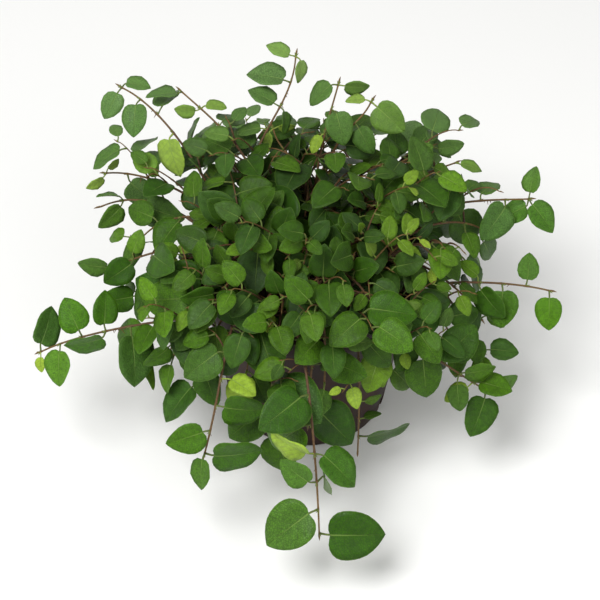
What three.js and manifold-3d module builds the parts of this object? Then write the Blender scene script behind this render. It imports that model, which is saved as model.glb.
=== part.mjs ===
// A creeping fig in its nursery pot, in millimetres. +Z is up, the origin is the middle of the pot's foot,
// and -Y is the front. Every leafy stem is one solid, which stands in its own hole in the soil.
import * as THREE from "three";
import { mergeVertices } from "three/addons/utils/BufferGeometryUtils.js";
import Module from "manifold-3d";

// Pot
const POT_HEIGHT = 104;
const FOOT_RADIUS = 43;
const SHOULDER_RADIUS = 56; // just under the rim band
const RIM_RADIUS = 59;
const RIM_BAND = 11;
const POT_WALL = 1.6;
const POT_SIDES = 32;
const DRAIN_SLOT = { width: 5, height: 11, count: 8 }; // in the wall, from the foot up
const DRAIN_HOLE = { radius: 4, ring: 24, count: 6 }; // in the floor

// Soil
const SOIL_TOP = 92;
const SOIL_GAP = 0.4; // between the soil and the pot
const SOIL_RINGS = 2;
const SOIL_BUMP = 1.6;
const HOLE_GAP = 0.5; // round each stem, in the soil
const ROOT_DEPTH = 9;

// Stems
const STEM_RADIUS = 1.1;
const TIP_RADIUS = 0.8;
const STEM_SIDES = 3;
const NODE_SPACING = 13; // between one leaf and the next, at the least
const LARGE_LEAF = 25; // beyond this a stem's largest leaf sets its leaves further apart
const LARGE_SPACING = 0.5; // by this much for each mm
const NODE_HALF = 0.8; // half the length of stem that a stalk grows from
const BARE_LENGTH = 10; // above the soil, with no leaf
const ROOT_RINGS = [9, 20, 31, 41]; // radii on the soil where stems stand
const SWAY = 0.3; // sideways play of a stem's line, as a share of its span

// Leaves. The outline's right half, as shares of the leaf's length: across, along
const OUTLINE = [
  [0.29, -0.02],
  [0.445, 0.3],
  [0.3, 0.69],
];
const YOUNG_OUTLINE = [
  [0.36, 0.08],
  [0.37, 0.56],
];
const YOUNG_LENGTH = 17; // leaves shorter than this have the simpler outline
const STALK_WIDTH = 1.3;
const STALK_LENGTH = 4.4;
const BLADE_THICKNESS = 0.8;
const FOLD = 0.22; // rise of the blade's halves from its midrib, for each mm across
const DROOP = 0.16; // fall of the blade's tip, as a share of its length

// Room that growing parts keep from each other. Each is known by sample points, and a point's room is its
// part's half thickness with half the way to the next point.
const SAMPLE_STEP = 1.2;
const BLADE_ROOM = 1.3;
const STEM_ROOM = 1.75;
const OWN_STEM_ROOM = 2.35; // a blade from its own stem's line
const LEAF_TRIES = 40;
const STEM_TRIES = 240;

// One row for each stem: the heading of its tip round the pot in degrees (0 is +X, 90 is the back), how far
// its tip is from the pot's axis, its tip's height, how far it first rises from the soil, how far it arches
// above its tip, the length of its largest leaf, and its last leaf's share of that (0 for a bare end). Where
// two more numbers follow, they are its root's heading and distance from the axis.
const STEMS = [
  // left
  [196.4, 143, 76, 26, 8, 21, 0.5, 232, 38],
  [185, 101, 106, 40, 8, 18, 0.8, 186, 40],
  [165, 112, 112, 24, -6, 20, 0, 196, 36],
  [158, 114, 123, 45, 10, 19, 0.5, 172, 30],
  [146, 116, 163, 50, 0, 17, 0.9, 160, 40],
  [207, 98, 76, 50, 34, 23, 0.9],
  [216, 84, 84, 40, 35, 24, 0.8],
  [176, 86, 112, 50, 20, 22, 0.8],
  [190, 88, 92, 50, 25, 21, 0.8],
  // back left
  [138, 87, 166, 60, -12, 17, 0.5, 142, 22],
  [108, 58, 143, 50, -10, 16, 0.6],
  [120, 86, 104, 60, 30, 20, 0.8],
  [95, 71, 179, 70, -44, 17, 0.8, 168, 41],
  [142, 66, 136, 50, 6, 21, 0.9],
  [132, 80, 128, 50, 8, 20, 0.8],
  // back
  [95, 88, 84, 60, 34, 20, 0.8],
  [75, 60, 171, 60, -16, 17, 0.6, 84, 22],
  [72, 92, 70, 60, 44, 20, 0.8],
  [112, 90, 70, 55, 42, 20, 0.8],
  [86, 62, 112, 60, 10, 20, 0.8],
  // back right
  [58, 61, 165, 64, -20, 18, 1, 88, 36],
  [50, 90, 92, 60, 30, 20, 0.8],
  [36, 80, 138, 60, 0, 17, 0.8],
  [27, 86, 134, 50, 4, 19, 0.6],
  [44, 64, 132, 55, 4, 21, 0.8],
  // right
  [13, 118, 120, 40, 6, 20, 0.8, 18, 40],
  [8, 92, 111, 40, 14, 20, 0.8, -6, 36],
  [-4, 126, 88, 30, 10, 19, 0.9, -48, 40],
  [-12, 92, 78, 45, 25, 20, 0.8],
  [-20, 97, 69, 50, 30, 17, 0.8],
  [-29, 105, 58, 32, 18, 20, 0.9, -60, 38],
  [20, 76, 116, 50, 16, 21, 0.8],
  // front right
  [-40, 76, 86, 50, 34, 20, 0.8],
  [2, 82, 92, 45, 26, 20, 0.8],
  [-69, 73, 28, 50, 96, 20, 0, -60, 41],
  [-56, 70, 84, 45, 34, 22, 0.8],
  [-28, 84, 84, 45, 30, 20, 0.8],
  // front
  [-87.6, 131, 44, 40, 42, 28, 1, -98, 41],
  [-90, 77, 62, 50, 58, 24, 0.8],
  [-84, 72, 74, 50, 45, 22, 0.7],
  [-104, 82, 62, 50, 52, 28, 0.8],
  // front left
  [-118, 116, 56, 40, 38, 22, 0, -116, 41],
  [-116, 70, 88, 45, 34, 25, 0.8],
  [-134, 80, 72, 50, 45, 21, 0.8],
  [-148, 84, 76, 50, 42, 23, 0.8],
  [-136, 72, 100, 45, 24, 23, 0.9, -150, 30],
  // crown
  [30, 34, 124, 26, 4, 20, 0.8, 100, 14],
  [150, 34, 122, 26, 4, 20, 0.8],
  [-90, 36, 120, 26, 6, 21, 0.8],
  [-24, 48, 120, 30, 8, 20, 0.8, -40, 16],
  [216, 40, 124, 30, 8, 20, 0.8],
  [90, 26, 130, 26, 2, 18, 0.8],
  [4, 50, 124, 32, 8, 20, 0.8, 60, 24],
  [180, 50, 122, 32, 8, 21, 0.8, 130, 24],
  [56, 48, 122, 30, 8, 20, 0.8],
];

// The leaves of the outer stems that show their whole outline from the front, each by its stem's number, its
// place from the tip, and its pose as seen from the front and VIEW_HEIGHT degrees above: the direction of its
// tip, its length, how far it rolls about its midrib, and how far its tip leans to the viewer.
const VIEW_HEIGHT = 48;
const SHOWN = [
  [1, 0, -90, 8, 20, 0],
  [1, 0, 69, 20, 48, 0],
  [1, 1, -95, 18, 25, 0],
  [1, 2, 115, 18, 0, 10],
  [1, 3, 198, 20, 66, 0],
  [1, 4, -82, 26, 35, 0],
  [2, 0, 178, 15, 40, 0],
  [2, 1, 65, 13, 10, 0],
  [2, 1, 215, 17, 10, 0],
  [3, 1, -131, 16, 40, 0],
  [3, 1, 196, 14, 65, 0],
  [3, 2, -25, 22, 30, 0],
  [4, 0, 219, 10.5, 55, 0],
  [4, 0, 36, 7.5, 60, 0],
  [4, 1, -60, 20, 20, 0],
  [5, 0, -118, 15, 0, 0],
  [5, 0, -8, 13, 45, 0],
  [5, 1, -95, 17, 5, 0],
  [5, 3, -79, 20, 35, 0],
  [6, 0, -60, 15, 66, 0],
  [10, 0, 178, 16, 50, 0],
  [10, 1, 180, 11, 35, 0],
  [10, 1, 0, 11, 45, 0],
  [11, 0, -100, 11, 45, 0],
  [11, 0, -3, 9, 55, 0],
  [13, 0, 152, 13, 30, 0],
  [13, 0, -88, 12, 50, 0],
  [13, 1, 166, 19, 42, 0],
  [13, 2, 148, 15, 40, 0],
  [13, 2, -85, 12, 62, 0],
  [13, 3, 185, 13, 40, 0],
  [17, 0, -5, 13, 45, 0],
  [17, 0, 218, 15, 40, 0],
  [17, 1, -75, 17, 10, 0],
  [17, 2, 240, 10, 30, 0],
  [17, 2, -70, 15, 20, 0],
  [21, 0, -42, 19, 10, 0],
  [21, 0, 178, 10.5, 30, 0],
  [21, 1, -62, 15, 20, 0],
  [21, 2, -5, 17, 20, 0],
  [23, 0, 5, 14, 35, 0],
  [24, 0, -12, 12, 45, 0],
  [26, 0, -50, 18, 25, 0],
  [26, 0, 80, 14, 30, 0],
  [26, 1, -122, 21, 20, 0],
  [26, 3, -55, 24, 15, 0],
  [27, 0, -25, 19, 45, 0],
  [28, 0, -91, 17, 10, 0],
  [28, 1, 85, 14, 0, 0],
  [28, 2, -95, 19, 10, 0],
  [28, 3, 140, 12, 20, 0],
  [28, 3, -55, 19, 40, 0],
  [30, 0, -3, 15, 20, 0],
  [30, 0, -35, 17, 30, 0],
  [30, 1, -80, 13, 10, 0],
  [31, 0, -107, 21, 25, 0],
  [31, 1, 208, 14, 35, 0],
  [31, 2, 5, 16, 50, 0],
  [31, 2, -62, 17, 30, 0],
  [35, 1, 8, 23, 68, 0],
  [35, 2, 20, 9, 50, 0],
  [35, 3, 15, 9, 50, 0],
  [35, 4, 50, 14, 30, 0],
  [38, 0, -2, 28, 10, 0],
  [38, 1, -143, 27, 10, 0],
  [38, 3, -42, 22, 40, 0],
  [38, 3, 156, 20, 58, 0],
  [38, 4, 195, 28, 15, 0],
  [40, 0, 215, 14, 30, 0],
  [42, 1, 0, 24, 45, 0],
  [42, 1, -100, 16, 30, 0],
  [42, 2, 200, 19, 20, 0],
  [42, 3, -10, 21, 30, 0],
  [44, 0, -132, 22, 40, 0],
];

const UP = new THREE.Vector3(0, 0, 1);
const vec = (x, y, z) => new THREE.Vector3(x, y, z);

// A seeded draw from 0 to 1: the same key always gives the same number.
function draw(...key) {
  let h = 2166136261;
  for (const k of key) {
    h = Math.imul(h ^ k, 16777619);
    h ^= h >>> 15;
    h = Math.imul(h, 2246822519);
    h ^= h >>> 13;
  }
  return (h >>> 0) / 4294967296;
}

// Points that are already taken by stems and blades, kept by cell so that neighbours are quick to find.
class Taken {
  cells = new Map();
  size = 2 * STEM_ROOM;

  key(p) {
    const [i, j, k] = [p.x, p.y, p.z].map((c) => Math.floor(c / this.size) + 512);
    return (i * 1024 + j) * 1024 + k;
  }

  add(points, owner, room) {
    for (const point of points) {
      const key = this.key(point);
      if (!this.cells.has(key)) this.cells.set(key, []);
      this.cells.get(key).push({ point, owner, room });
    }
  }

  // Whether no point comes into the room of what other owners hold
  clear(points, owner, room) {
    const probe = vec(0, 0, 0);
    const blocks = (h, p) => h.owner !== owner && h.point.distanceTo(p) < h.room + room;
    for (const p of points) {
      for (let i = -1; i <= 1; i += 1) {
        for (let j = -1; j <= 1; j += 1) {
          for (let k = -1; k <= 1; k += 1) {
            probe.set(p.x + i * this.size, p.y + j * this.size, p.z + k * this.size);
            const held = this.cells.get(this.key(probe)) ?? [];
            if (held.some((h) => blocks(h, p))) return false;
          }
        }
      }
    }
    return true;
  }
}

// Whether a point keeps off the floor, the soil and the pot
function offPot(p) {
  const r = Math.hypot(p.x, p.y);
  const wall = FOOT_RADIUS + ((SHOULDER_RADIUS - FOOT_RADIUS) * p.z) / POT_HEIGHT;
  const margin = 2.4;
  if (p.z < margin) return false;
  if (p.z > POT_HEIGHT + margin) return true;
  if (r < SHOULDER_RADIUS - margin - POT_WALL) return p.z > SOIL_TOP + margin;
  return r > (p.z > POT_HEIGHT - RIM_BAND - margin ? RIM_RADIUS : wall) + margin;
}

// A stem's line: up out of the soil, over in an arch, and down or up to its tip. The line swings a little
// further with each try.
function stemLine([heading, reach, height, rise, arch, , , from, distance], index, attempt) {
  const d = (trait) => draw(index, attempt, trait) - 0.5;
  const swing = from === undefined ? 40 + 6 * attempt : 5 * attempt;
  const sway = from === undefined ? SWAY : SWAY / 3 + 0.02 * attempt;
  const nearRing = ROOT_RINGS[(index * 3 + attempt) % ROOT_RINGS.length];
  const ring = distance === undefined ? nearRing : Math.abs(distance + d(4) * 0.5 * attempt);
  const tipAngle = THREE.MathUtils.degToRad(heading);
  const rootAngle = THREE.MathUtils.degToRad((from ?? heading) + d(1) * swing);
  const root = vec(ring * Math.cos(rootAngle), ring * Math.sin(rootAngle), SOIL_TOP + 1);
  const out = vec(Math.cos(tipAngle), Math.sin(tipAngle), 0);
  const aside = vec(-out.y, out.x, 0);
  const tip = out.clone().multiplyScalar(reach).setZ(height);
  const span = Math.max(20, reach - ring);
  const leaveRoot = root
    .clone()
    .addScaledVector(UP, rise)
    .addScaledVector(out, span * 0.12)
    .addScaledVector(aside, span * sway * d(2));
  const reachTip = tip
    .clone()
    .addScaledVector(UP, arch + 1.5 * Math.min(attempt, 16))
    .addScaledVector(out, -span * Math.max(0, 0.35 - arch / 200))
    .addScaledVector(aside, span * sway * d(3));
  return new THREE.CubicBezierCurve3(root, leaveRoot, reachTip, tip);
}

const spacingOf = (row) => NODE_SPACING + LARGE_SPACING * Math.max(0, row[5] - LARGE_LEAF);

// The stem's points: its root in the soil, then its nodes, an equal way apart along its line
function stemPoints(line, spacing) {
  const count = Math.max(4, Math.round(line.getLength() / spacing));
  const nodes = line.getSpacedPoints(count);
  return [nodes[0].clone().setZ(SOIL_TOP - ROOT_DEPTH), ...nodes];
}

function bendsGently(points) {
  const ways = points.slice(1).map((p, i) => p.clone().sub(points[i]).normalize());
  return ways.every((way, i) => i === 0 || way.dot(ways[i - 1]) > 0.4);
}

function between(a, b, step) {
  const count = Math.ceil(a.distanceTo(b) / step);
  return Array.from({ length: count + 1 }, (_, i) => a.clone().lerp(b, i / count));
}

// A leaf's frame at a stem's node: where its stalk starts and ends, and its blade's along, across and face
// directions. Later tries turn further from the leaf's natural pose, on a longer stalk.
function leafPose(points, node, stem, attempt) {
  const d = (trait) => draw(stem, node, attempt, trait) - 0.5;
  const last = points.length - 1;
  const at = points[node];
  const ahead = points[Math.min(node + 1, last)].clone().sub(points[node - 1]).normalize();
  const fromTip = last - node;
  const side = (node + stem) % 2 ? 1 : -1;
  const outward = vec(at.x, at.y, 0).normalize();
  const light = vec(0, -0.3, 1).addScaledVector(outward, 0.4);
  light.add(vec(d(1), d(2), d(3)).multiplyScalar(0.6 + 0.04 * attempt)).normalize();
  const sideways = light.clone().cross(ahead).normalize().multiplyScalar(side);
  const forward = fromTip === 0 ? 1.2 : 0.5 + d(4) * (0.7 + 0.05 * attempt);
  const along = sideways
    .clone()
    .addScaledVector(ahead, forward)
    .addScaledVector(UP, -0.3 + d(5) * (0.5 + 0.04 * attempt))
    .addScaledVector(outward, 0.25)
    .normalize();
  const face = light.clone().addScaledVector(along, -light.dot(along)).normalize();
  const [largest, youngest] = STEMS[stem].slice(5);
  const growth = Math.min(1, (youngest || 0.8) + 0.18 * fromTip) * (1 + 0.3 * (draw(stem, node, 7) - 0.5));
  const length = largest * growth * (1 - 0.012 * attempt);
  const stalk = sideways.clone().addScaledVector(ahead, forward * 0.5).addScaledVector(face, 0.4);
  return onStalk({ at, along, face, length, attempt, node }, stalk);
}

// The frame of a leaf that shows, from its row
function shownPose(points, stem, row, attempt) {
  const [, place, heading, size, turn, lean] = row;
  const d = (trait) => draw(stem, place, Math.round(heading) + 400, attempt, trait) - 0.5;
  const rad = (degrees) => THREE.MathUtils.degToRad(degrees);
  const node = points.length - 1 - place;
  const at = points[node];
  const ahead = at.clone().sub(points[node - 1]).normalize();
  const [sin, cos] = [Math.sin(rad(VIEW_HEIGHT)), Math.cos(rad(VIEW_HEIGHT))];
  const viewer = vec(0, -cos, sin);
  const angle = rad(heading + d(1) * 3 * attempt);
  const tilt = rad(lean + d(2) * (16 + 4 * attempt));
  const along = vec(Math.cos(angle), sin * Math.sin(angle), cos * Math.sin(angle))
    .multiplyScalar(Math.cos(tilt))
    .addScaledVector(viewer, Math.sin(tilt));
  const level = viewer.clone().addScaledVector(along, -viewer.dot(along)).normalize();
  const roll = rad(turn * (d(3) < 0 ? -1 : 1) + d(4) * (10 + 4 * attempt));
  const across = along.clone().cross(level);
  const face = level.multiplyScalar(Math.cos(roll)).addScaledVector(across, Math.sin(roll));
  const length = size * (1 - 0.006 * attempt);
  const leave = along.clone().addScaledVector(face, 0.5);
  const stalk = leave.addScaledVector(ahead, -leave.dot(ahead)).normalize().addScaledVector(along, 0.5);
  return onStalk({ at, along, face, length, attempt, node }, stalk);
}

// Completes a leaf's frame: its blade starts where its stalk ends
function onStalk(leaf, direction) {
  const reach = STALK_LENGTH * (0.4 + 0.03 * leaf.length) + 0.1 * leaf.attempt;
  const base = leaf.at.clone().addScaledVector(direction.normalize(), reach);
  return { ...leaf, base, across: leaf.along.clone().cross(leaf.face) };
}

// A point of the blade, from its place across and along the flat leaf: folded at the midrib, and drooping at
// the tip
function bladePoint(leaf, x, y) {
  const share = y / leaf.length;
  const lift = FOLD * Math.abs(x) - DROOP * share * Math.abs(share) * leaf.length;
  return leaf.base
    .clone()
    .addScaledVector(leaf.across, x)
    .addScaledVector(leaf.along, y)
    .addScaledVector(leaf.face, lift);
}

// The blade's outline, round from the right corner of its neck by its tip to the left one
function bladeOutline(leaf) {
  const half = leaf.length < YOUNG_LENGTH ? YOUNG_OUTLINE : OUTLINE;
  const corner = (side) => ([x, y]) => bladePoint(leaf, side * x * leaf.length, y * leaf.length);
  const neck = (side) => leaf.base.clone().addScaledVector(leaf.across, (side * STALK_WIDTH) / 2);
  const tip = bladePoint(leaf, 0, leaf.length);
  return [neck(1), ...half.map(corner(1)), tip, ...half.map(corner(-1)).reverse(), neck(-1)];
}

// The triangles over an outline with this many corners: a fan from each side of the neck
function bladeFaces(corners) {
  const last = corners - 1;
  const tip = last / 2;
  const faces = [[last, 0, tip]];
  for (let i = 1; i < tip; i += 1) {
    faces.push([0, i, i + 1], [last, last - i - 1, last - i]);
  }
  return faces;
}

// Points spread over the blade
function bladeSamples(leaf) {
  const outline = bladeOutline(leaf);
  const points = [];
  for (const face of bladeFaces(outline.length)) {
    const [a, b, c] = face.map((i) => outline[i]);
    const rows = Math.ceil(Math.max(a.distanceTo(b), a.distanceTo(c)) / SAMPLE_STEP);
    for (let row = 1; row <= rows; row += 1) {
      const [p, q] = [b, c].map((end) => a.clone().lerp(end, row / rows));
      points.push(...between(p, q, SAMPLE_STEP));
    }
  }
  return points;
}

// Whether a leaf keeps off its own stem, and its blade off the stalks of the stem's other nodes
function offOwnStem(leaf, blade, stalk, { points, leaves }) {
  const nearest = vec(0, 0, 0);
  const apart = (line, p) => line.closestPointToPoint(p, true, nearest).distanceTo(p);
  const stem = points.slice(1).map((p, i) => new THREE.Line3(points[i], p));
  const others = leaves.filter((one) => one.node !== leaf.node);
  const stalks = others.map((one) => new THREE.Line3(one.at, one.base));
  const bladeOff = [...stem, ...stalks].every((line) => blade.every((p) => apart(line, p) > OWN_STEM_ROOM));
  return bladeOff && stem.every((line) => stalk.slice(2).every((p) => apart(line, p) > STEM_ROOM));
}

// One leafy stem as a closed surface: a three-sided tube with a short pair of rings at each node, from whose
// sides the stalks grow, and at each stalk's end a blade with the same triangles on both faces.
class LeafyStem {
  positions = [];
  index = [];

  constructor({ points, leaves }) {
    const last = points.length - 1;
    const side = vec(1, 0, 0);
    let before = null;
    points.forEach((p, i) => {
      const ahead = points[Math.min(i + 1, last)].clone().sub(points[Math.max(i - 1, 0)]).normalize();
      side.addScaledVector(ahead, -side.dot(ahead)).normalize();
      const radius = STEM_RADIUS + ((TIP_RADIUS - STEM_RADIUS) * i) / last;
      const own = leaves.filter((leaf) => leaf.node === i);
      const { turn, sides } = this.squareSides(side, ahead, own);
      side.applyAxisAngle(ahead, turn);
      for (const shift of own.length ? [-NODE_HALF, NODE_HALF] : [0]) {
        const ring = this.ring(p.clone().addScaledVector(ahead, shift), ahead, side, radius);
        const open = shift > 0 ? sides : [];
        if (before) this.tube(before, ring, open);
        if (!before) this.face([...ring].reverse());
        open.forEach((k, n) => this.leaf(own[n], this.sideLoop(before, ring, k)));
        before = ring;
      }
    });
    this.face(before);
  }

  // How far to turn a node's rings, and which side each stalk grows from, so that all leave squarely
  squareSides(side, ahead, leaves) {
    const other = ahead.clone().cross(side);
    const all = Array.from({ length: STEM_SIDES }, (_, k) => k);
    const pairs = all.flatMap((k) => all.filter((m) => m !== k).map((m) => [k, m]));
    const facing = (turn, k, leaf) => {
      const angle = turn + (Math.PI * (2 * k + 1)) / STEM_SIDES;
      const outwards = side.clone().multiplyScalar(Math.cos(angle)).addScaledVector(other, Math.sin(angle));
      return outwards.dot(leaf.base.clone().sub(leaf.at).normalize());
    };
    let best = { turn: 0, sides: [], fit: -1 };
    const choices = leaves.length > 1 ? pairs : all.slice(0, leaves.length * STEM_SIDES).map((k) => [k]);
    for (const sides of choices) {
      for (const degrees of [-36, -18, 0, 18, 36]) {
        const turn = THREE.MathUtils.degToRad(degrees);
        const fit = Math.min(...sides.map((k, n) => facing(turn, k, leaves[n])));
        if (fit > best.fit) best = { turn, sides, fit };
      }
    }
    return best;
  }

  point(p) {
    this.positions.push(p.x, p.y, p.z);
    return this.positions.length / 3 - 1;
  }

  at(i) {
    return vec(...this.positions.slice(3 * i, 3 * i + 3));
  }

  // A face of three or four corners, the latter cut across its shorter way
  face([a, b, c, d]) {
    const across = (i, j) => (d === undefined ? 0 : this.at(i).distanceTo(this.at(j)));
    if (across(a, c) > across(b, d)) this.index.push(a, b, d, b, c, d);
    else this.index.push(a, b, c);
    if (d !== undefined && across(a, c) <= across(b, d)) this.index.push(a, c, d);
  }

  ring(centre, ahead, side, radius) {
    const other = ahead.clone().cross(side);
    return Array.from({ length: STEM_SIDES }, (_, k) => {
      const angle = (2 * Math.PI * k) / STEM_SIDES;
      const spoke = side.clone().multiplyScalar(Math.cos(angle)).addScaledVector(other, Math.sin(angle));
      return this.point(centre.clone().addScaledVector(spoke, radius));
    });
  }

  sideLoop(from, to, k) {
    const next = (k + 1) % STEM_SIDES;
    return [from[k], from[next], to[next], to[k]];
  }

  tube(from, to, open) {
    for (let k = 0; k < STEM_SIDES; k += 1) {
      if (!open.includes(k)) this.face(this.sideLoop(from, to, k));
    }
  }

  leaf(leaf, root) {
    const outline = bladeOutline(leaf);
    const [upper, lower] = [1, -1].map((side) =>
      outline.map((p) => this.point(p.clone().addScaledVector(leaf.face, (side * BLADE_THICKNESS) / 2))),
    );
    const last = outline.length - 1;
    for (const [a, b, c] of bladeFaces(outline.length)) {
      this.face([upper[a], upper[b], upper[c]]);
      this.face([lower[a], lower[c], lower[b]]);
    }
    for (let i = 0; i < last; i += 1) {
      this.face([lower[i], lower[i + 1], upper[i + 1], upper[i]]);
    }
    const neck = [lower[last], upper[last], upper[0], lower[0]];
    const turn = this.leastTwist(root, neck);
    for (let k = 0; k < 4; k += 1) {
      const next = (k + 1) % 4;
      this.face([root[k], root[next], neck[(next + turn) % 4], neck[(k + turn) % 4]]);
    }
  }

  // How many corners to turn the neck by, so that the stalk's edges are as short as they can be
  leastTwist(root, neck) {
    const twist = (turn) =>
      root.reduce((sum, i, k) => sum + this.at(i).distanceToSquared(this.at(neck[(k + turn) % 4])), 0);
    const twists = [0, 1, 2, 3].map(twist);
    return twists.indexOf(Math.min(...twists));
  }

  geometry() {
    return closedGeometry(this.positions, this.index);
  }
}

function closedGeometry(positions, index) {
  const geometry = new THREE.BufferGeometry();
  geometry.setAttribute("position", new THREE.Float32BufferAttribute(positions, 3));
  geometry.setIndex(index);
  return geometry;
}

// All stems take their places first, then leaves, from every tip inwards.
function grow() {
  const taken = new Taken();
  const plants = STEMS.map((row, index) => {
    for (let attempt = 0; attempt < STEM_TRIES; attempt += 1) {
      const points = stemPoints(stemLine(row, index, attempt), spacingOf(row));
      const line = points.slice(1).flatMap((p, i) => between(points[i], p, SAMPLE_STEP));
      const above = line.filter((p) => p.z > SOIL_TOP + 4 || Math.hypot(p.x, p.y) > SHOULDER_RADIUS);
      if (bendsGently(points) && above.every(offPot) && taken.clear(line, index, STEM_ROOM)) {
        taken.add(line, index, STEM_ROOM);
        return { points, leaves: [] };
      }
    }
    throw new Error("no room for stem " + (index + 1));
  });
  for (const row of SHOWN) {
    const stem = row[0] - 1;
    const plant = plants[stem];
    growLeaf(plant, stem, taken, (attempt) => shownPose(plant.points, stem, row, attempt));
  }
  const longest = Math.max(...plants.map((p) => p.points.length));
  for (let fromTip = 0; fromTip < longest; fromTip += 1) {
    plants.forEach((plant, stem) => {
      const node = plant.points.length - 1 - fromTip;
      const shown = SHOWN.some((row) => row[0] === stem + 1 && row[1] === fromTip);
      const bare = fromTip === 0 && STEMS[stem][6] === 0;
      if (shown || bare || (node - 1) * spacingOf(STEMS[stem]) < BARE_LENGTH) return;
      growLeaf(plant, stem, taken, (attempt) => leafPose(plant.points, node, stem, attempt));
    });
  }
  return plants;
}

// Whether a leaf's blade goes on from its stalk, and its stalk parts well from another at the same node
function sound(leaf, plant) {
  const stalk = leaf.base.clone().sub(leaf.at).normalize();
  const others = plant.leaves.filter((one) => one.node === leaf.node);
  const apart = (one) => one.base.clone().sub(one.at).normalize().dot(stalk) < 0.3;
  const straight = stalk.dot(leaf.along) > 0.45 && Math.abs(stalk.dot(leaf.across)) < 0.7;
  return straight && others.every(apart);
}

// One more leaf on a stem, in the first pose that has room
function growLeaf(plant, stem, taken, pose) {
  for (let attempt = 0; attempt < LEAF_TRIES; attempt += 1) {
    const leaf = pose(attempt);
    const paired = plant.leaves.some((one) => one.node === leaf.node);
    const blade = bladeSamples(leaf);
    const stalk = between(leaf.at, leaf.base, SAMPLE_STEP).slice(1);
    const all = [...blade, ...stalk.slice(paired ? 1 : 0)];
    const free = sound(leaf, plant) && all.every(offPot) && offOwnStem(leaf, blade, stalk, plant);
    if (free && taken.clear(all, stem, BLADE_ROOM)) {
      taken.add([...blade, ...stalk.slice(1)], stem + 0.001 * (plant.leaves.length + 1), BLADE_ROOM);
      plant.leaves.push(leaf);
      return;
    }
  }
}

const wasm = await Module();
wasm.setup();

// A closed mesh as a solid, with only positions kept
function solid(geometry) {
  const bare = geometry.index ? geometry.clone() : geometry.toNonIndexed();
  bare.deleteAttribute("normal");
  bare.deleteAttribute("uv");
  const merged = mergeVertices(bare, 1e-4);
  return new wasm.Manifold(
    new wasm.Mesh({
      numProp: 3,
      vertProperties: new Float32Array(merged.attributes.position.array),
      triVerts: new Uint32Array(merged.index.array),
    }),
  );
}

function geometryOf(manifold) {
  const mesh = manifold.getMesh();
  const geometry = closedGeometry(Array.from(mesh.vertProperties), Array.from(mesh.triVerts)).toNonIndexed();
  geometry.computeVertexNormals();
  return geometry;
}

function lathe(profile, sides) {
  const points = profile.map(([r, z]) => new THREE.Vector2(r, z));
  return new THREE.LatheGeometry(points, sides).rotateX(Math.PI / 2);
}

// The pot: a tapered shell with a rim band, a flat floor with drain holes, and drain slots round its foot
function potSolid() {
  const inner = (r) => r - POT_WALL;
  const shell = lathe(
    [
      [0, 0],
      [FOOT_RADIUS, 0],
      [SHOULDER_RADIUS, POT_HEIGHT - RIM_BAND],
      [RIM_RADIUS, POT_HEIGHT - RIM_BAND],
      [RIM_RADIUS + 0.8, POT_HEIGHT],
      [inner(RIM_RADIUS) - 1, POT_HEIGHT],
      [inner(SHOULDER_RADIUS), POT_HEIGHT - RIM_BAND],
      [inner(FOOT_RADIUS), POT_WALL],
      [0, POT_WALL],
    ],
    POT_SIDES,
  );
  let pot = solid(shell);
  for (let i = 0; i < DRAIN_SLOT.count; i += 1) {
    const slot = new THREE.BoxGeometry(9, DRAIN_SLOT.width, 2 * DRAIN_SLOT.height);
    slot.translate(FOOT_RADIUS, 0, 0).rotateZ((2 * Math.PI * (i + 0.5)) / DRAIN_SLOT.count);
    pot = pot.subtract(solid(slot));
  }
  for (let i = 0; i < DRAIN_HOLE.count; i += 1) {
    const hole = new THREE.CylinderGeometry(DRAIN_HOLE.radius, DRAIN_HOLE.radius, 4 * POT_WALL, 8);
    hole.rotateX(Math.PI / 2).translate(DRAIN_HOLE.ring, 0, 0).rotateZ((2 * Math.PI * i) / DRAIN_HOLE.count);
    pot = pot.subtract(solid(hole));
  }
  return pot;
}

// The soil: it fills the pot, crumbly on top, with a plain hole for each stem
function soilSolid(plants) {
  const floor = POT_WALL + SOIL_GAP;
  const wall = (z) => FOOT_RADIUS + ((SHOULDER_RADIUS - FOOT_RADIUS) * z) / (POT_HEIGHT - RIM_BAND);
  const radiusAt = (z) => wall(z) - POT_WALL - 2 * SOIL_GAP;
  const rings = Array.from({ length: SOIL_RINGS + 1 }, (_, i) => 1 - i / SOIL_RINGS);
  const top = rings.map((share) => [radiusAt(SOIL_TOP) * share, SOIL_TOP - (share === 1 ? SOIL_BUMP : 0)]);
  const body = lathe([[0, floor], [radiusAt(floor), floor], ...top], POT_SIDES);
  const position = body.attributes.position;
  for (let i = 0; i < position.count; i += 1) {
    const [x, y, z] = [position.getX(i), position.getY(i), position.getZ(i)];
    const bump = Math.sin(x * 0.31 + 1) * Math.cos(y * 0.27) + Math.sin((x + y) * 0.17);
    if (z > SOIL_TOP - 1) position.setZ(i, z + (SOIL_BUMP * bump) / 2);
  }
  let soil = solid(body);
  const radius = STEM_RADIUS + 2 * HOLE_GAP;
  for (const { points } of plants) {
    const hole = new THREE.CylinderGeometry(radius, radius, 30, STEM_SIDES);
    const bottom = SOIL_TOP - ROOT_DEPTH - HOLE_GAP;
    hole.rotateX(Math.PI / 2).rotateZ(Math.PI / 2).translate(points[0].x, points[0].y, bottom + 15);
    soil = soil.subtract(solid(hole));
  }
  return soil;
}

const material = (color, roughness) => new THREE.MeshStandardMaterial({ color, roughness, metalness: 0 });
const plastic = () => material(0x3a2c33, 0.5);
const peat = () => material(0x241a14, 1);
const foliage = () => material(0x3f7a2a, 0.6);

function named(name, manifold, finish) {
  const mesh = new THREE.Mesh(geometryOf(manifold), finish);
  mesh.name = name;
  return mesh;
}

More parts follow.
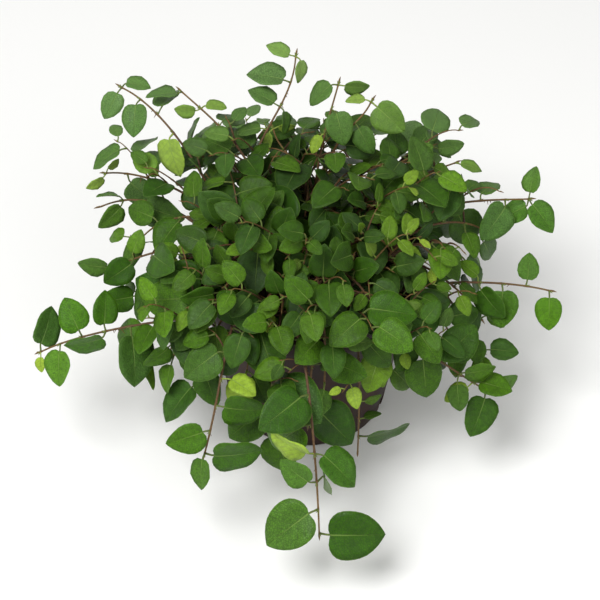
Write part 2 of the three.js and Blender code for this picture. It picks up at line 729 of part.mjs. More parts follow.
const plants = grow();
const plant = new THREE.Group();
plant.add(named("pot", potSolid(), plastic()));
plant.add(named("soil", soilSolid(plants), peat()));
plants.forEach((one, index) => {
  const name = "stem_" + String(index + 1).padStart(2, "0");
  plant.add(named(name, solid(new LeafyStem(one).geometry()), foliage()));
});

export default plant;
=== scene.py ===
"""A creeping fig in its nursery pot: the looks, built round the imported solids.

Lengths are in millimetres until a mesh is made. The stems and leaves grow by the rule that made the solids,
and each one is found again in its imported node, so the finer piece lies where the solid is.
"""
import math

import bpy
import numpy as np
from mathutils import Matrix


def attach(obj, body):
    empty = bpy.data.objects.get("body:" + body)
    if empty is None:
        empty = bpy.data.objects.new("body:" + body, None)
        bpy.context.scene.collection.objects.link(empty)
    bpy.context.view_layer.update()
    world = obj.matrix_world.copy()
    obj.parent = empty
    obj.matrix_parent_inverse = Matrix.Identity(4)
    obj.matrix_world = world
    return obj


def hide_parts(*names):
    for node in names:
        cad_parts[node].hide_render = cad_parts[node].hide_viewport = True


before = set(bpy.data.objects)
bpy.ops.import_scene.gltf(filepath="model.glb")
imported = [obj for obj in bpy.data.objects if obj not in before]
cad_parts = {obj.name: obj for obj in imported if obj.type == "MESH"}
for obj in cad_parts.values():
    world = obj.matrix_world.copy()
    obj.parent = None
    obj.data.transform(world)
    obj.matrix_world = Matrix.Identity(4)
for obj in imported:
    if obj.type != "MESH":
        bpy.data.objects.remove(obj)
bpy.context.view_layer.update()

MM = 0.001
UP = np.array([0.0, 0.0, 1.0])

# Camera: at the front, VIEW_HEIGHT degrees above level
VIEW_HEIGHT = 48
VIEW_SIN, VIEW_COS = math.sin(math.radians(VIEW_HEIGHT)), math.cos(math.radians(VIEW_HEIGHT))
TO_VIEWER = np.array([0, -VIEW_COS, VIEW_SIN])
VIEW_TARGET = np.array([-4, 0, 71])
VIEW_DISTANCE = 1000
VIEW_MM_PER_PIXEL = 0.53
PICTURE_WIDTH = 600

# Pot, as in the solids
POT_HEIGHT = 104
FOOT_RADIUS = 43
SHOULDER_RADIUS = 56
RIM_RADIUS = 59
RIM_BAND = 11
POT_WALL = 1.6

# Growth, as in the solids
SOIL_TOP = 92
ROOT_DEPTH = 9
SOLID_STEM_RADIUS = 1.1
NODE_SPACING = 13
LARGE_LEAF = 25
LARGE_SPACING = 0.5
BARE_LENGTH = 10
ROOT_RINGS = (9, 20, 31, 41)
SWAY = 0.3
STALK_LENGTH = 4.4
SOLID_BLADE = 0.8
FOLD = 0.22
DROOP = 0.16
LEAF_TRIES = 40
STEM_TRIES = 240
CURVE_STEPS = 201
LEAST_NODES = 4
MATCH = 0.02  # how near a worked-out corner lies to its corner in the solid

# One row for each stem: the heading of its tip round the pot in degrees (0 is +X, 90 is the back), how far
# its tip is from the pot's axis, its tip's height, how far it first rises from the soil, how far it arches
# above its tip, the length of its largest leaf, and its last leaf's share of that (0 for a bare end). Where
# two more numbers follow, they are its root's heading and distance from the axis.
STEMS = (
    # left
    (196.4, 143, 76, 26, 8, 21, 0.5, 232, 38),
    (185, 101, 106, 40, 8, 18, 0.8, 186, 40),
    (165, 112, 112, 24, -6, 20, 0, 196, 36),
    (158, 114, 123, 45, 10, 19, 0.5, 172, 30),
    (146, 116, 163, 50, 0, 17, 0.9, 160, 40),
    (207, 98, 76, 50, 34, 23, 0.9),
    (216, 84, 84, 40, 35, 24, 0.8),
    (176, 86, 112, 50, 20, 22, 0.8),
    (190, 88, 92, 50, 25, 21, 0.8),
    # back left
    (138, 87, 166, 60, -12, 17, 0.5, 142, 22),
    (108, 58, 143, 50, -10, 16, 0.6),
    (120, 86, 104, 60, 30, 20, 0.8),
    (95, 71, 179, 70, -44, 17, 0.8, 168, 41),
    (142, 66, 136, 50, 6, 21, 0.9),
    (132, 80, 128, 50, 8, 20, 0.8),
    # back
    (95, 88, 84, 60, 34, 20, 0.8),
    (75, 60, 171, 60, -16, 17, 0.6, 84, 22),
    (72, 92, 70, 60, 44, 20, 0.8),
    (112, 90, 70, 55, 42, 20, 0.8),
    (86, 62, 112, 60, 10, 20, 0.8),
    # back right
    (58, 61, 165, 64, -20, 18, 1, 88, 36),
    (50, 90, 92, 60, 30, 20, 0.8),
    (36, 80, 138, 60, 0, 17, 0.8),
    (27, 86, 134, 50, 4, 19, 0.6),
    (44, 64, 132, 55, 4, 21, 0.8),
    # right
    (13, 118, 120, 40, 6, 20, 0.8, 18, 40),
    (8, 92, 111, 40, 14, 20, 0.8, -6, 36),
    (-4, 126, 88, 30, 10, 19, 0.9, -48, 40),
    (-12, 92, 78, 45, 25, 20, 0.8),
    (-20, 97, 69, 50, 30, 17, 0.8),
    (-29, 105, 58, 32, 18, 20, 0.9, -60, 38),
    (20, 76, 116, 50, 16, 21, 0.8),
    # front right
    (-40, 76, 86, 50, 34, 20, 0.8),
    (2, 82, 92, 45, 26, 20, 0.8),
    (-69, 73, 28, 50, 96, 20, 0, -60, 41),
    (-56, 70, 84, 45, 34, 22, 0.8),
    (-28, 84, 84, 45, 30, 20, 0.8),
    # front
    (-87.6, 131, 44, 40, 42, 28, 1, -98, 41),
    (-90, 77, 62, 50, 58, 24, 0.8),
    (-84, 72, 74, 50, 45, 22, 0.7),
    (-104, 82, 62, 50, 52, 28, 0.8),
    # front left
    (-118, 116, 56, 40, 38, 22, 0, -116, 41),
    (-116, 70, 88, 45, 34, 25, 0.8),
    (-134, 80, 72, 50, 45, 21, 0.8),
    (-148, 84, 76, 50, 42, 23, 0.8),
    (-136, 72, 100, 45, 24, 23, 0.9, -150, 30),
    # crown
    (30, 34, 124, 26, 4, 20, 0.8, 100, 14),
    (150, 34, 122, 26, 4, 20, 0.8),
    (-90, 36, 120, 26, 6, 21, 0.8),
    (-24, 48, 120, 30, 8, 20, 0.8, -40, 16),
    (216, 40, 124, 30, 8, 20, 0.8),
    (90, 26, 130, 26, 2, 18, 0.8),
    (4, 50, 124, 32, 8, 20, 0.8, 60, 24),
    (180, 50, 122, 32, 8, 21, 0.8, 130, 24),
    (56, 48, 122, 30, 8, 20, 0.8),
)

# The leaves whose whole outline shows from the front, by their stem's number. Each has its place from the
# tip, and its pose as seen from the front and VIEW_HEIGHT degrees above: the direction of its tip, its
# length, how far it rolls about its midrib, and how far its tip leans to the viewer. A sixth number is how
# young it looks.
SHOWN = {
    1: (
        (0, -90, 8, 20, 0, 0.9), (0, 69, 20, 48, 0), (1, -95, 18, 25, 0), (2, 115, 18, 0, 10),
        (3, 198, 20, 66, 0), (4, -82, 26, 35, 0),
    ),
    2: ((0, 178, 15, 40, 0, 0.3), (1, 65, 13, 10, 0, 0.4), (1, 215, 17, 10, 0)),
    3: ((1, -131, 16, 40, 0), (1, 196, 14, 65, 0), (2, -25, 22, 30, 0)),
    4: ((0, 219, 10.5, 55, 0, 0.75), (0, 36, 7.5, 60, 0, 0.8), (1, -60, 20, 20, 0)),
    5: ((0, -118, 15, 0, 0), (0, -8, 13, 45, 0), (1, -95, 17, 5, 0), (3, -79, 20, 35, 0, 0.8)),
    6: ((0, -60, 15, 66, 0),),
    10: ((0, 178, 16, 50, 0), (1, 180, 11, 35, 0, 0.55), (1, 0, 11, 45, 0, 0.6)),
    11: ((0, -100, 11, 45, 0, 0.7), (0, -3, 9, 55, 0, 0.8)),
    13: (
        (0, 152, 13, 30, 0, 0.5), (0, -88, 12, 50, 0, 0.6), (1, 166, 19, 42, 0), (2, 148, 15, 40, 0),
        (2, -85, 12, 62, 0), (3, 185, 13, 40, 0, 0.4),
    ),
    17: (
        (0, -5, 13, 45, 0, 0.45), (0, 218, 15, 40, 0), (1, -75, 17, 10, 0), (2, 240, 10, 30, 0, 0.7),
        (2, -70, 15, 20, 0),
    ),
    21: ((0, -42, 19, 10, 0, 0.45), (0, 178, 10.5, 30, 0, 0.75), (1, -62, 15, 20, 0), (2, -5, 17, 20, 0)),
    23: ((0, 5, 14, 35, 0),),
    24: ((0, -12, 12, 45, 0, 0.5),),
    26: ((0, -50, 18, 25, 0), (0, 80, 14, 30, 0), (1, -122, 21, 20, 0), (3, -55, 24, 15, 0)),
    27: ((0, -25, 19, 45, 0),),
    28: (
        (0, -91, 17, 10, 0), (1, 85, 14, 0, 0), (2, -95, 19, 10, 0), (3, 140, 12, 20, 0, 0.4),
        (3, -55, 19, 40, 0),
    ),
    30: ((0, -3, 15, 20, 0), (0, -35, 17, 30, 0), (1, -80, 13, 10, 0)),
    31: ((0, -107, 21, 25, 0), (1, 208, 14, 35, 0, 0.7), (2, 5, 16, 50, 0), (2, -62, 17, 30, 0)),
    35: ((1, 8, 23, 68, 0), (2, 20, 9, 50, 0, 0.3), (3, 15, 9, 50, 0, 0.4), (4, 50, 14, 30, 0)),
    38: (
        (0, -2, 28, 10, 0), (1, -143, 27, 10, 0), (3, -42, 22, 40, 0), (3, 156, 20, 58, 0, 0.8),
        (4, 195, 28, 15, 0),
    ),
    40: ((0, 215, 14, 30, 0, 0.3),),
    42: ((1, 0, 24, 45, 0), (1, -100, 16, 30, 0), (2, 200, 19, 20, 0), (3, -10, 21, 30, 0)),
    44: ((0, -132, 22, 40, 0),),
}

# Leaves that the solids leave out, written the same way
ADDED = {
    1: ((3, 85, 17, 20, 0, 0.1),),
    9: ((0, 190, 17, 20, 0, 0.1),),
    31: ((1, -10, 17, 25, 0, 0.2), (0, 20, 15, 35, 0, 0.3)),
    30: ((0, -80, 15, 30, 0, 0.3),),
    43: ((0, -112, 19, 15, 0, 0.75),),
    36: ((0, -90, 8, 20, 0, 0.6),),
    38: ((2, 135, 18, 30, 0, 0.2),),
    26: ((0, 205, 17, 30, 0, 0.1),),
}

# How young some other leaves look, each by its stem's number and its place from the tip
FRESH_LEAVES = {(36, 1): 0.5, (42, 4): 0.75, (44, 6): 0.6}

# Fine stems and leaves
STEM_RADIUS = 0.85
TIP_RADIUS = 0.42
STALK_RADIUS = 0.5
NODE_SWELL = 0.3  # how much thicker a stem is at its nodes
NODE_REACH = 2.2
ROOTLET_RADIUS = 0.26
STEM_STEP = 1.6
BARK_STEPS = 400
STEM_SIDES, SHOOT_SIDES, STALK_SIDES, STIPULE_SIDES, ROOTLET_SIDES = 8, 6, 6, 5, 4
BLADE_THICKNESS = 0.36
# Rows and columns of the blades' grids, by how long they are: up to the first of GRID_LENGTHS, and so on
GRID_LENGTHS = (16.5, 22.5)
WIDE_COLUMNS = (-1, -0.7, -0.3, 0, 0.3, 0.7, 1)
BLADE_GRIDS = ((8, (-1, -0.6, 0, 0.6, 1)), (11, WIDE_COLUMNS), (16, WIDE_COLUMNS))
# The blade's outline when young and when grown, as shares of its length: across, along
YOUNG_LENGTH = 10
GROWN_LENGTH = 19
YOUNG_OUTLINE = np.array(
    [(0, 0), (0.12, 0.005), (0.23, 0.07), (0.32, 0.2), (0.352, 0.36)]
    + [(0.338, 0.54), (0.268, 0.73), (0.16, 0.885), (0.06, 0.97), (0, 1)]
)
OUTLINE = np.array(
    [(0, 0), (0.14, -0.03), (0.28, 0.005), (0.395, 0.12), (0.44, 0.285)]
    + [(0.425, 0.47), (0.35, 0.665), (0.22, 0.84), (0.08, 0.955), (0, 1)]
)
# Ages run from 0 for woody or deep green to 1 for fresh, and soft tells bark from green stalk and rootlet
STALK_SOFT = 0.75
STIPULE_LENGTH = 2.4
STIPULE_LOOK = (0.4, 0.9)  # age, soft
TIP_BUD_LENGTH = 4.5
TIP_BUD_LOOK = (0.9, 0.2)
ROOTLET_SHARE = 0.4  # of the nodes
ROOTLET_LOOK = (0.1, 1)
# A leaf is brighter by chance, and by how far it is from the crown's heart: leaves deep in the crown and low
# down are darker, partly as older deep green leaves and partly as painted shade of the crown's inside. The
# brightening by distance starts at SHADE_AND_AGE_START of SHADE_AND_AGE_SPAN, and is whole at
# SHADE_AND_AGE_HEIGHT above the ground
CROWN_HEART = np.array([0.0, 0.0, 100.0])
SHADE_AND_AGE_SPAN = 80
SHADE_AND_AGE_START = 0.56
SHADE_AND_AGE_HEIGHT = 85
CHANCE_BRIGHTNESS = 0.26
OUTER_PAINTED_LIGHT_AND_AGE = 0.85

# Side shoots: short growth that the solids leave out
FIRST_SHOOT_KEY = 1000
KEYS_FOR_STEM = 40
HEART_SHOOTS = 3  # that a node near the pot's axis may carry
SHOOT_GIRTH = 0.6
SHOOT_REACH = (13, 19)  # the least, and how much more
SHOOT_TURN = 220
SHOOT_SUNK = 0.2
SHOOT_LEAF = (13, 9)  # length of the largest leaf: the least, and how much more
YOUNG_SHOOT_LEAF = (9, 5)
SHOOT_SPACING = 7
YOUNG_SHOOT_SPACING = 5
SHOOT_TRIES = 14
SHOOT_LEAF_TRIES = 10
CROWN_RADIUS = 84  # stems carry shoots within this, above CROWN_FLOOR
CROWN_FLOOR = 90
HEART_RADIUS = 42  # within this a node may carry HEART_SHOOTS
CROWN_TOP = 127  # how high the crown shows from the front, square to the view
YOUNG_SHARE = 0.09  # share of the shoots whose leaves are small and fresh
OUTER_SHARE = 0.1  # share of the nodes further out that carry a shoot
OUTER_RADIUS = 108
CELL = 1.0  # of the grid that keeps what is taken
VIEW_CELL = 1.5  # of the grid of the camera's view
VIEW_CELLS = 160
CLEARANCE = 1.5
SOIL_CLEARANCE = 3
RIM_CLEARANCE = 1.5
GROUND_CLEARANCE = 2
SAMPLE_STEP = 1.5
STEM_SAMPLES = 60


def unit(vector):
    """Vectors shortened or lengthened to one."""
    return vector / np.linalg.norm(vector, axis=-1, keepdims=True)


def draw(*key):
    """A seeded draw from 0 to 1: the same whole numbers always give the same share."""
    h = 2166136261  # here and below, the numbers that the solids' draws use
    for k in key:
        h = ((h ^ int(k)) * 16777619) & 0xFFFFFFFF
        h ^= h >> 15
        h = (h * 2246822519) & 0xFFFFFFFF
        h ^= h >> 13
    return h / 4294967296


def traits(key, first, end):
    """Seeded draws from -0.5 to 0.5, one for each number from first up to end."""
    return [draw(*key, k) - 0.5 for k in range(first, end)]


def nearest_whole(x):
    return math.floor(x + 0.5)


def clamped(x):
    """The value, but no less than 0 and no more than 1."""
    return min(1, max(0, x))


def cubic(control, t):
    """The cubic curve of four control points at the shares t."""
    t = np.asarray(t)[:, None]
    a, b, c, d = control
    return (1 - t) ** 3 * a + 3 * (1 - t) ** 2 * t * b + 3 * (1 - t) * t**2 * c + t**3 * d


def through(points, t):
    """A smooth curve through the points at the shares t of its spans: cubics that head, at each point, the
    way from the point before to the point after."""
    points = np.asarray(points, float)
    spans = len(points) - 1
    ends = np.vstack([2 * points[0] - points[1], points, 2 * points[-1] - points[-2]])
    place = np.clip(np.asarray(t) * spans, 0, spans - 1e-9)
    i = place.astype(int)
    s = (place - i)[:, None]
    a, b, c, d = (ends[i + k] for k in range(4))
    return b + 0.5 * s * (c - a + s * (2 * a - 5 * b + 4 * c - d + s * (3 * (b - c) + d - a)))


def way_along(points):
    """How far along a line each of its points lies: the sum of the steps up to it."""
    return np.concatenate([[0], np.cumsum(np.linalg.norm(np.diff(points, axis=0), axis=1))])


def heading_of(degrees):
    """The level direction at an angle round the pot."""
    angle = math.radians(degrees)
    return np.array([math.cos(angle), math.sin(angle), 0.0])


def stem_line(row, index, attempt):
    """A stem's cubic curve: up out of the soil, over in an arch, and down or up to its tip."""
    heading, reach, height, rise, arch, _, _, *root_place = row
    trait = traits((index, attempt), 0, 5)
    # A later attempt starts further aside, sways more and arches higher
    swing = 5 * attempt if root_place else 40 + 6 * attempt
    sway = SWAY / 3 + 0.02 * attempt if root_place else SWAY
    ring = ROOT_RINGS[(index * 3 + attempt) % len(ROOT_RINGS)]
    root_heading = heading
    if root_place:
        root_heading = root_place[0]
        ring = abs(root_place[1] + trait[4] * 0.5 * attempt)
    root = heading_of(root_heading + trait[1] * swing) * ring + UP * (SOIL_TOP + 1)
    out = heading_of(heading)
    aside = np.array([-out[1], out[0], 0.0])
    tip = out * reach + UP * height
    span = max(20, reach - ring)
    leave_root = root + UP * rise + out * span * 0.12 + aside * span * sway * trait[2]
    back = span * max(0, 0.35 - arch / 200)
    reach_tip = tip + UP * (arch + 1.5 * min(attempt, 16)) - out * back + aside * span * sway * trait[3]
    return np.array([root, leave_root, reach_tip, tip])


def spacing_of(row):
    """How far apart a stem's nodes are: a stem with leaves over LARGE_LEAF has them further apart."""
    return NODE_SPACING + LARGE_SPACING * max(0, row[5] - LARGE_LEAF)


def stem_points(control, spacing):
    """The stem's points: its root in the soil, then its nodes, an equal way apart along its curve."""
    t = np.linspace(0, 1, CURVE_STEPS)
    way = way_along(cubic(control, t))
    count = max(LEAST_NODES, nearest_whole(way[-1] / spacing))
    nodes = cubic(control, np.interp(np.linspace(0, way[-1], count + 1), way, t))
    root = nodes[0] * (1, 1, 0) + UP * (SOIL_TOP - ROOT_DEPTH)
    return np.vstack([root, nodes])


def on_stalk(leaf, direction):
    """Completes a leaf's frame: its blade starts where its stalk ends."""
    leaf["stalk"] = unit(direction)
    reach = STALK_LENGTH * (0.4 + 0.03 * leaf["length"]) + 0.1 * leaf["attempt"]
    leaf["base"] = leaf["at"] + leaf["stalk"] * reach
    leaf["across"] = np.cross(leaf["along"], leaf["face"])
    return leaf


def leaf_pose(points, node, stem, attempt, sizes):
    """A leaf's frame at a stem's node: where its stalk starts, and its blade's along, across and face ways.
    It leaves the stem to one side and forwards, falls a little, and faces up and outwards. The sizes are the
    length of the stem's largest leaf, and its last leaf's share of that."""
    trait = traits((stem, node, attempt), 0, 6)
    last = len(points) - 1
    at = points[node]
    ahead = unit(points[min(node + 1, last)] - points[node - 1])
    place = last - node
    side = 1 if (node + stem) % 2 else -1
    outward = unit(at * (1, 1, 0))
    # A later attempt is turned further and a little shorter
    light = np.array([0, -0.3, 1]) + outward * 0.4
    light = unit(light + np.array(trait[1:4]) * (0.6 + 0.04 * attempt))
    sideways = unit(np.cross(light, ahead)) * side
    forward = 1.2 if place == 0 else 0.5 + trait[4] * (0.7 + 0.05 * attempt)
    fall = -0.3 + trait[5] * (0.5 + 0.04 * attempt)
    along = unit(sideways + ahead * forward + UP * fall + outward * 0.25)
    face = unit(light - along * (light @ along))
    largest, youngest = sizes
    growth = min(1, (youngest or 0.8) + 0.18 * place) * (1 + 0.3 * (draw(stem, node, 7) - 0.5))
    length = largest * growth * (1 - 0.012 * attempt)
    leaf = dict(at=at, along=along, face=face, length=length, attempt=attempt, node=node, place=place)
    return on_stalk(leaf, sideways + ahead * forward * 0.5 + face * 0.4)


def shown_pose(points, stem, row, attempt):
    """The frame of a leaf that shows, from its row: its midrib is turned in the plane square to the view and
    leaned towards the viewer, and its face is rolled about the midrib."""
    place, heading, size, turn, lean, *youth = row
    trait = traits((stem, place, nearest_whole(heading) + 400, attempt), 0, 5)
    node = len(points) - 1 - place
    at = points[node]
    ahead = unit(at - points[node - 1])
    angle = math.radians(heading + trait[1] * 3 * attempt)
    tilt = math.radians(lean + trait[2] * (16 + 4 * attempt))
    flat = np.array([math.cos(angle), VIEW_SIN * math.sin(angle), VIEW_COS * math.sin(angle)])
    along = flat * math.cos(tilt) + TO_VIEWER * math.sin(tilt)
    level = unit(TO_VIEWER - along * (TO_VIEWER @ along))
    roll = math.radians(turn * (-1 if trait[3] < 0 else 1) + trait[4] * (10 + 4 * attempt))
    face = level * math.cos(roll) + np.cross(along, level) * math.sin(roll)
    length = size * (1 - 0.006 * attempt)
    leave = along + face * 0.5
    stalk = unit(leave - ahead * (leave @ ahead)) + along * 0.5
    leaf = dict(at=at, along=along, face=face, length=length, attempt=attempt, node=node, place=place)
    leaf["youth"] = youth[0] if youth else None
    return on_stalk(leaf, stalk)


def corners_of(node):
    """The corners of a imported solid, in millimetres."""
    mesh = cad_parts[node].data
    places = np.empty(len(mesh.vertices) * 3)
    mesh.vertices.foreach_get("co", places)
    return places.reshape(-1, 3) / MM


def holds(corners, point):
    """Whether a solid has a corner at a point."""
    return np.abs(corners - point).max(axis=1).min() < MATCH


def found_leaf(corners, poses):
    """The first pose whose blade has its tip in the solid, or None where the solid has no such leaf."""
    for leaf in poses:
        tip = leaf["base"] + leaf["along"] * leaf["length"] - leaf["face"] * DROOP * leaf["length"]
        if holds(corners, tip + leaf["face"] * SOLID_BLADE / 2):
            return leaf
    return None


def grown(stem):
    """One stem as its solid has it: its curve, its points and its leaves."""
    row = STEMS[stem]
    corners = corners_of(f"stem_{stem + 1:02d}")
    for attempt in range(STEM_TRIES):
        control = stem_line(row, stem, attempt)
        points = stem_points(control, spacing_of(row))
        if holds(corners, points[0] + (SOLID_STEM_RADIUS, 0, 0)):
            break
    else:
        raise RuntimeError(f"no line found for stem {stem + 1}")
    tries = range(LEAF_TRIES)
    rows = SHOWN.get(stem + 1, ())
    found = [found_leaf(corners, (shown_pose(points, stem, shown, k) for k in tries)) for shown in rows]
    last = len(points) - 1
    for node in range(2, last + 1):
        natural = all(shown[0] != last - node for shown in rows) and not (node == last and row[6] == 0)
        if natural and (node - 1) * spacing_of(row) >= BARE_LENGTH:
            poses = (leaf_pose(points, node, stem, k, row[5:7]) for k in tries)
            found.append(found_leaf(corners, poses))
    leaves = [leaf for leaf in found if leaf is not None]
    for leaf in leaves:
        if (stem + 1, leaf["place"]) in FRESH_LEAVES:
            leaf["youth"] = FRESH_LEAVES[stem + 1, leaf["place"]]
    return dict(key=stem, control=control, points=points, leaves=leaves, sizes=row[5:7], girth=1, ages=(0, 1))


# Surfaces. A surface is its corners, its faces of four corners, two vectors for each corner that the
# finishes read, and the number of its finish. Growth is the age, how bright it is (by chance, and darker deep
# in the crown as older leaves and as painted shade), and for a blade how near to its edge, or for a tube how
# soft.
LEAF_TOP, LEAF_BACK, BARK = 0, 1, 2
ONLY_FINISH = 0
AT_CORNERS = ("corners", "place", "growth")


def as_rows(*columns):
    """Numbers and arrays, spread to one shape, as the columns of one array."""
    return np.stack(np.broadcast_arrays(*columns), axis=-1).reshape(-1, len(columns))


def grid_faces(rows, columns, closed=False):
    """Faces between neighbouring rows and columns of a grid. Closed joins the last column to the first."""
    r, c = np.meshgrid(np.arange(rows - 1), np.arange(columns if closed else columns - 1), indexing="ij")
    n = (c + 1) % columns
    below, above = r * columns, (r + 1) * columns
    return np.stack([below + c, below + n, above + n, above + c], axis=-1).reshape(-1, 4)


def surface(corners, faces, place, growth, finish):
    """A surface, whose place and growth may be the same at every corner."""
    count = len(corners)
    return dict(
        corners=corners,
        faces=faces,
        place=np.broadcast_to(place, (count, 3)),
        growth=np.broadcast_to(growth, (count, 3)),
        finish=np.full(len(faces), finish),
    )


def tube(path, radii, aside, sides, look, seed):
    """A round tube along a path: every ring is a point of the path plus its radius times the cosine and the
    sine of the angle along two ways square to the path. A ring of no radius closes each end. Its look is its
    age, which may change along the path, and how soft it is."""
    ahead = unit(np.gradient(path, axis=0))
    first = unit(aside - ahead * (ahead @ aside)[:, None])
    second = np.cross(ahead, first)
    angle = np.arange(sides) * 2 * math.pi / sides
    spokes = first[:, None] * np.cos(angle)[:, None] + second[:, None] * np.sin(angle)[:, None]
    rings = path[:, None] + spokes * np.reshape(radii, (-1, 1, 1))
    ends = [np.broadcast_to(path[k], (1, sides, 3)) for k in (0, -1)]
    corners = np.concatenate([ends[0], rings, ends[1]])
    way = np.pad(way_along(path), 1, mode="edge")
    place = as_rows(angle / math.pi, way[:, None], seed)
    age, soft = look
    ages = np.repeat(np.pad(np.broadcast_to(age, len(path)), 1, mode="edge"), sides)
    faces = grid_faces(len(corners), sides, closed=True)
    return surface(corners.reshape(-1, 3), faces, place, as_rows(ages, 0, soft), BARK)


def blade_form(leaf, seed, rows, columns):
    """A leaf's blade, a function of the share along and the share across. Row t runs from the midrib's point
    at t to the power 1.4 out to both outlines' points at t, so rows fan out round the blade's round base. The
    blade rises from its midrib towards both edges, droops by the square of the share along, cups by the
    square of the way across, and waves a little at its edge. Gives its corners, and each one's share across
    and along."""
    length = leaf["length"]
    trait = traits((seed,), 60, 67)
    t = np.linspace(0, 1, rows)
    grown_up = clamped((length - YOUNG_LENGTH) / (GROWN_LENGTH - YOUNG_LENGTH))
    half = through(YOUNG_OUTLINE + (OUTLINE - YOUNG_OUTLINE) * grown_up, t)
    u = np.array(columns)
    lopsided = 1 + 0.14 * trait[0] * np.sign(u) + 0.1 * trait[1]
    x = half[:, :1] * u * lopsided
    rib = t[:, None] ** 1.4
    lobe = 0.07 * trait[2] * np.sign(u) * (1 - t[:, None]) ** 2 * np.abs(u)
    y = rib + (half[:, 1:] - rib) * np.abs(u) ** 1.25 - lobe * (t[:, None] > 0)
    rise = FOLD * (1 + 0.5 * trait[3]) * (np.sqrt(x**2 + 0.02**2) - 0.02)
    droop = DROOP * y * np.abs(y)
    cup = 0.2 * (trait[4] + 0.15) * x**2
    wave = 0.035 * np.abs(u) ** 3 * np.sin(2 * math.pi * (1.4 * y + trait[5])) * np.sin(math.pi * t[:, None])
    twist = 0.22 * trait[6] * x * y
    lift = rise - droop - cup + wave * np.sign(u + 0.01) + twist
    corners = (
        leaf["base"]
        + (x * length)[..., None] * leaf["across"]
        + (y * length)[..., None] * leaf["along"]
        + (lift * length)[..., None] * leaf["face"]
    )
    return corners, x, y


def blade(leaf, growth, seed):
    """A leaf's blade as a closed surface: its form, half its thickness up and down, and a rim between."""
    grid_rows, grid_columns = BLADE_GRIDS[np.searchsorted(GRID_LENGTHS, leaf["length"])]
    corners, x, y = blade_form(leaf, seed, grid_rows, grid_columns)
    edge = np.broadcast_to(np.abs(np.array(grid_columns)), x.shape)
    ends = np.abs(np.linspace(-1, 1, grid_rows))[:, None] == 1
    thickness = BLADE_THICKNESS * (1 - 0.5 * np.where(ends, 1, edge**4))
    half_way = (thickness / 2)[..., None] * leaf["face"]
    top, back = (corners + half_way).reshape(-1, 3), (corners - half_way).reshape(-1, 3)
    rows, columns = x.shape
    faces = grid_faces(rows, columns)
    right, left = np.arange(2, rows + 1) * columns - 1, np.arange(rows - 2, -1, -1) * columns
    border = np.concatenate([right, left])
    onward = np.roll(border, -1)
    count = rows * columns
    rim = np.stack([border, border + count, onward + count, onward], axis=-1)
    place, tone = as_rows(x, y, seed % 977 * 0.37), as_rows(*growth, edge)
    faces_of_both = np.vstack([faces, faces[:, [0, 3, 2, 1]] + count, rim])
    place, tone = np.vstack([place, place]), np.vstack([tone, tone])
    whole = surface(np.vstack([top, back]), faces_of_both, place, tone, LEAF_TOP)
    whole["finish"][len(faces) : 2 * len(faces)] = LEAF_BACK
    return whole


def stalk(leaf, age, seed):
    """A leaf's stalk and, below the blade, the midrib it runs on into: a tapering tube."""
    base, along, length = leaf["base"], leaf["along"], leaf["length"]
    reach = np.linalg.norm(base - leaf["at"])
    below = -leaf["face"] * (BLADE_THICKNESS * 0.5 + 0.1)
    control = np.array(
        [
            leaf["at"],
            leaf["at"] + leaf["stalk"] * reach * 0.6,
            base - along * reach * 0.35 + below,
            base + along * 0.6 + below,
        ]
    )
    way = cubic(control, np.linspace(0, 1, 6))
    share = np.array([0.12, 0.3, 0.5, 0.72, 0.74])[:, None]
    under = base + along * share * length - leaf["face"] * DROOP * length * share**2 + below
    path = np.vstack([way, under])
    thick = STALK_RADIUS * (0.6 + 0.02 * length)
    radii = thick * np.array([1.25, 1.0, 0.9, 0.9, 0.95, 0.85, 0.6, 0.45, 0.3, 0.18, 0.1])
    return tube(path, radii, leaf["across"], STALK_SIDES, (age, STALK_SOFT), seed)


def stem_radius(way, total, nodes):
    """A stem's radius along it: it tapers to its tip, and is thicker at its nodes."""
    taper = STEM_RADIUS + (TIP_RADIUS - STEM_RADIUS) * way / total
    near = np.abs(way[:, None] - nodes).min(axis=1)
    return taper * (1 + NODE_SWELL * np.exp(-((near / NODE_REACH) ** 2) * 4))


def stem_bark(plant):
    """A stem: a tube along its curve from its root to its tip, thicker at every node."""
    control, points = plant["control"], plant["points"]
    t = np.linspace(0, 1, BARK_STEPS)
    way = way_along(cubic(control, t))
    at = np.linspace(0, way[-1], int(way[-1] / STEM_STEP))
    path = cubic(control, np.interp(at, way, t))
    nodes = np.linspace(0, way[-1], len(points) - 1)
    radii = stem_radius(at, way[-1], nodes) * plant["girth"]
    aside = np.cross(UP, unit((path[-1] - path[0]) * (1, 1, 0)))
    path = np.vstack([points[0], path])
    radii = np.concatenate([radii[:1], radii])
    low, high = plant["ages"]
    age = low + (high - low) * np.concatenate([[0], at / way[-1]])
    sides = STEM_SIDES if plant["girth"] == 1 else SHOOT_SIDES
    return tube(path, radii, aside, sides, (age, 0), plant["key"] * 3.7)


def scale_leaf(at, along, face, length, look, seed):
    """A stipule or bud: a small pointed sheath at a node, a tube that swells and comes to a point."""
    share = np.array([0, 0.2, 0.5, 0.8, 1.0])
    path = at + along * share[:, None] * length + face * (0.25 * length * share * (1 - share))[:, None]
    radii = 0.13 * length * np.array([0.7, 1.0, 0.9, 0.45, 0.05])
    return tube(path, radii, np.cross(along, face), STIPULE_SIDES, look, seed)


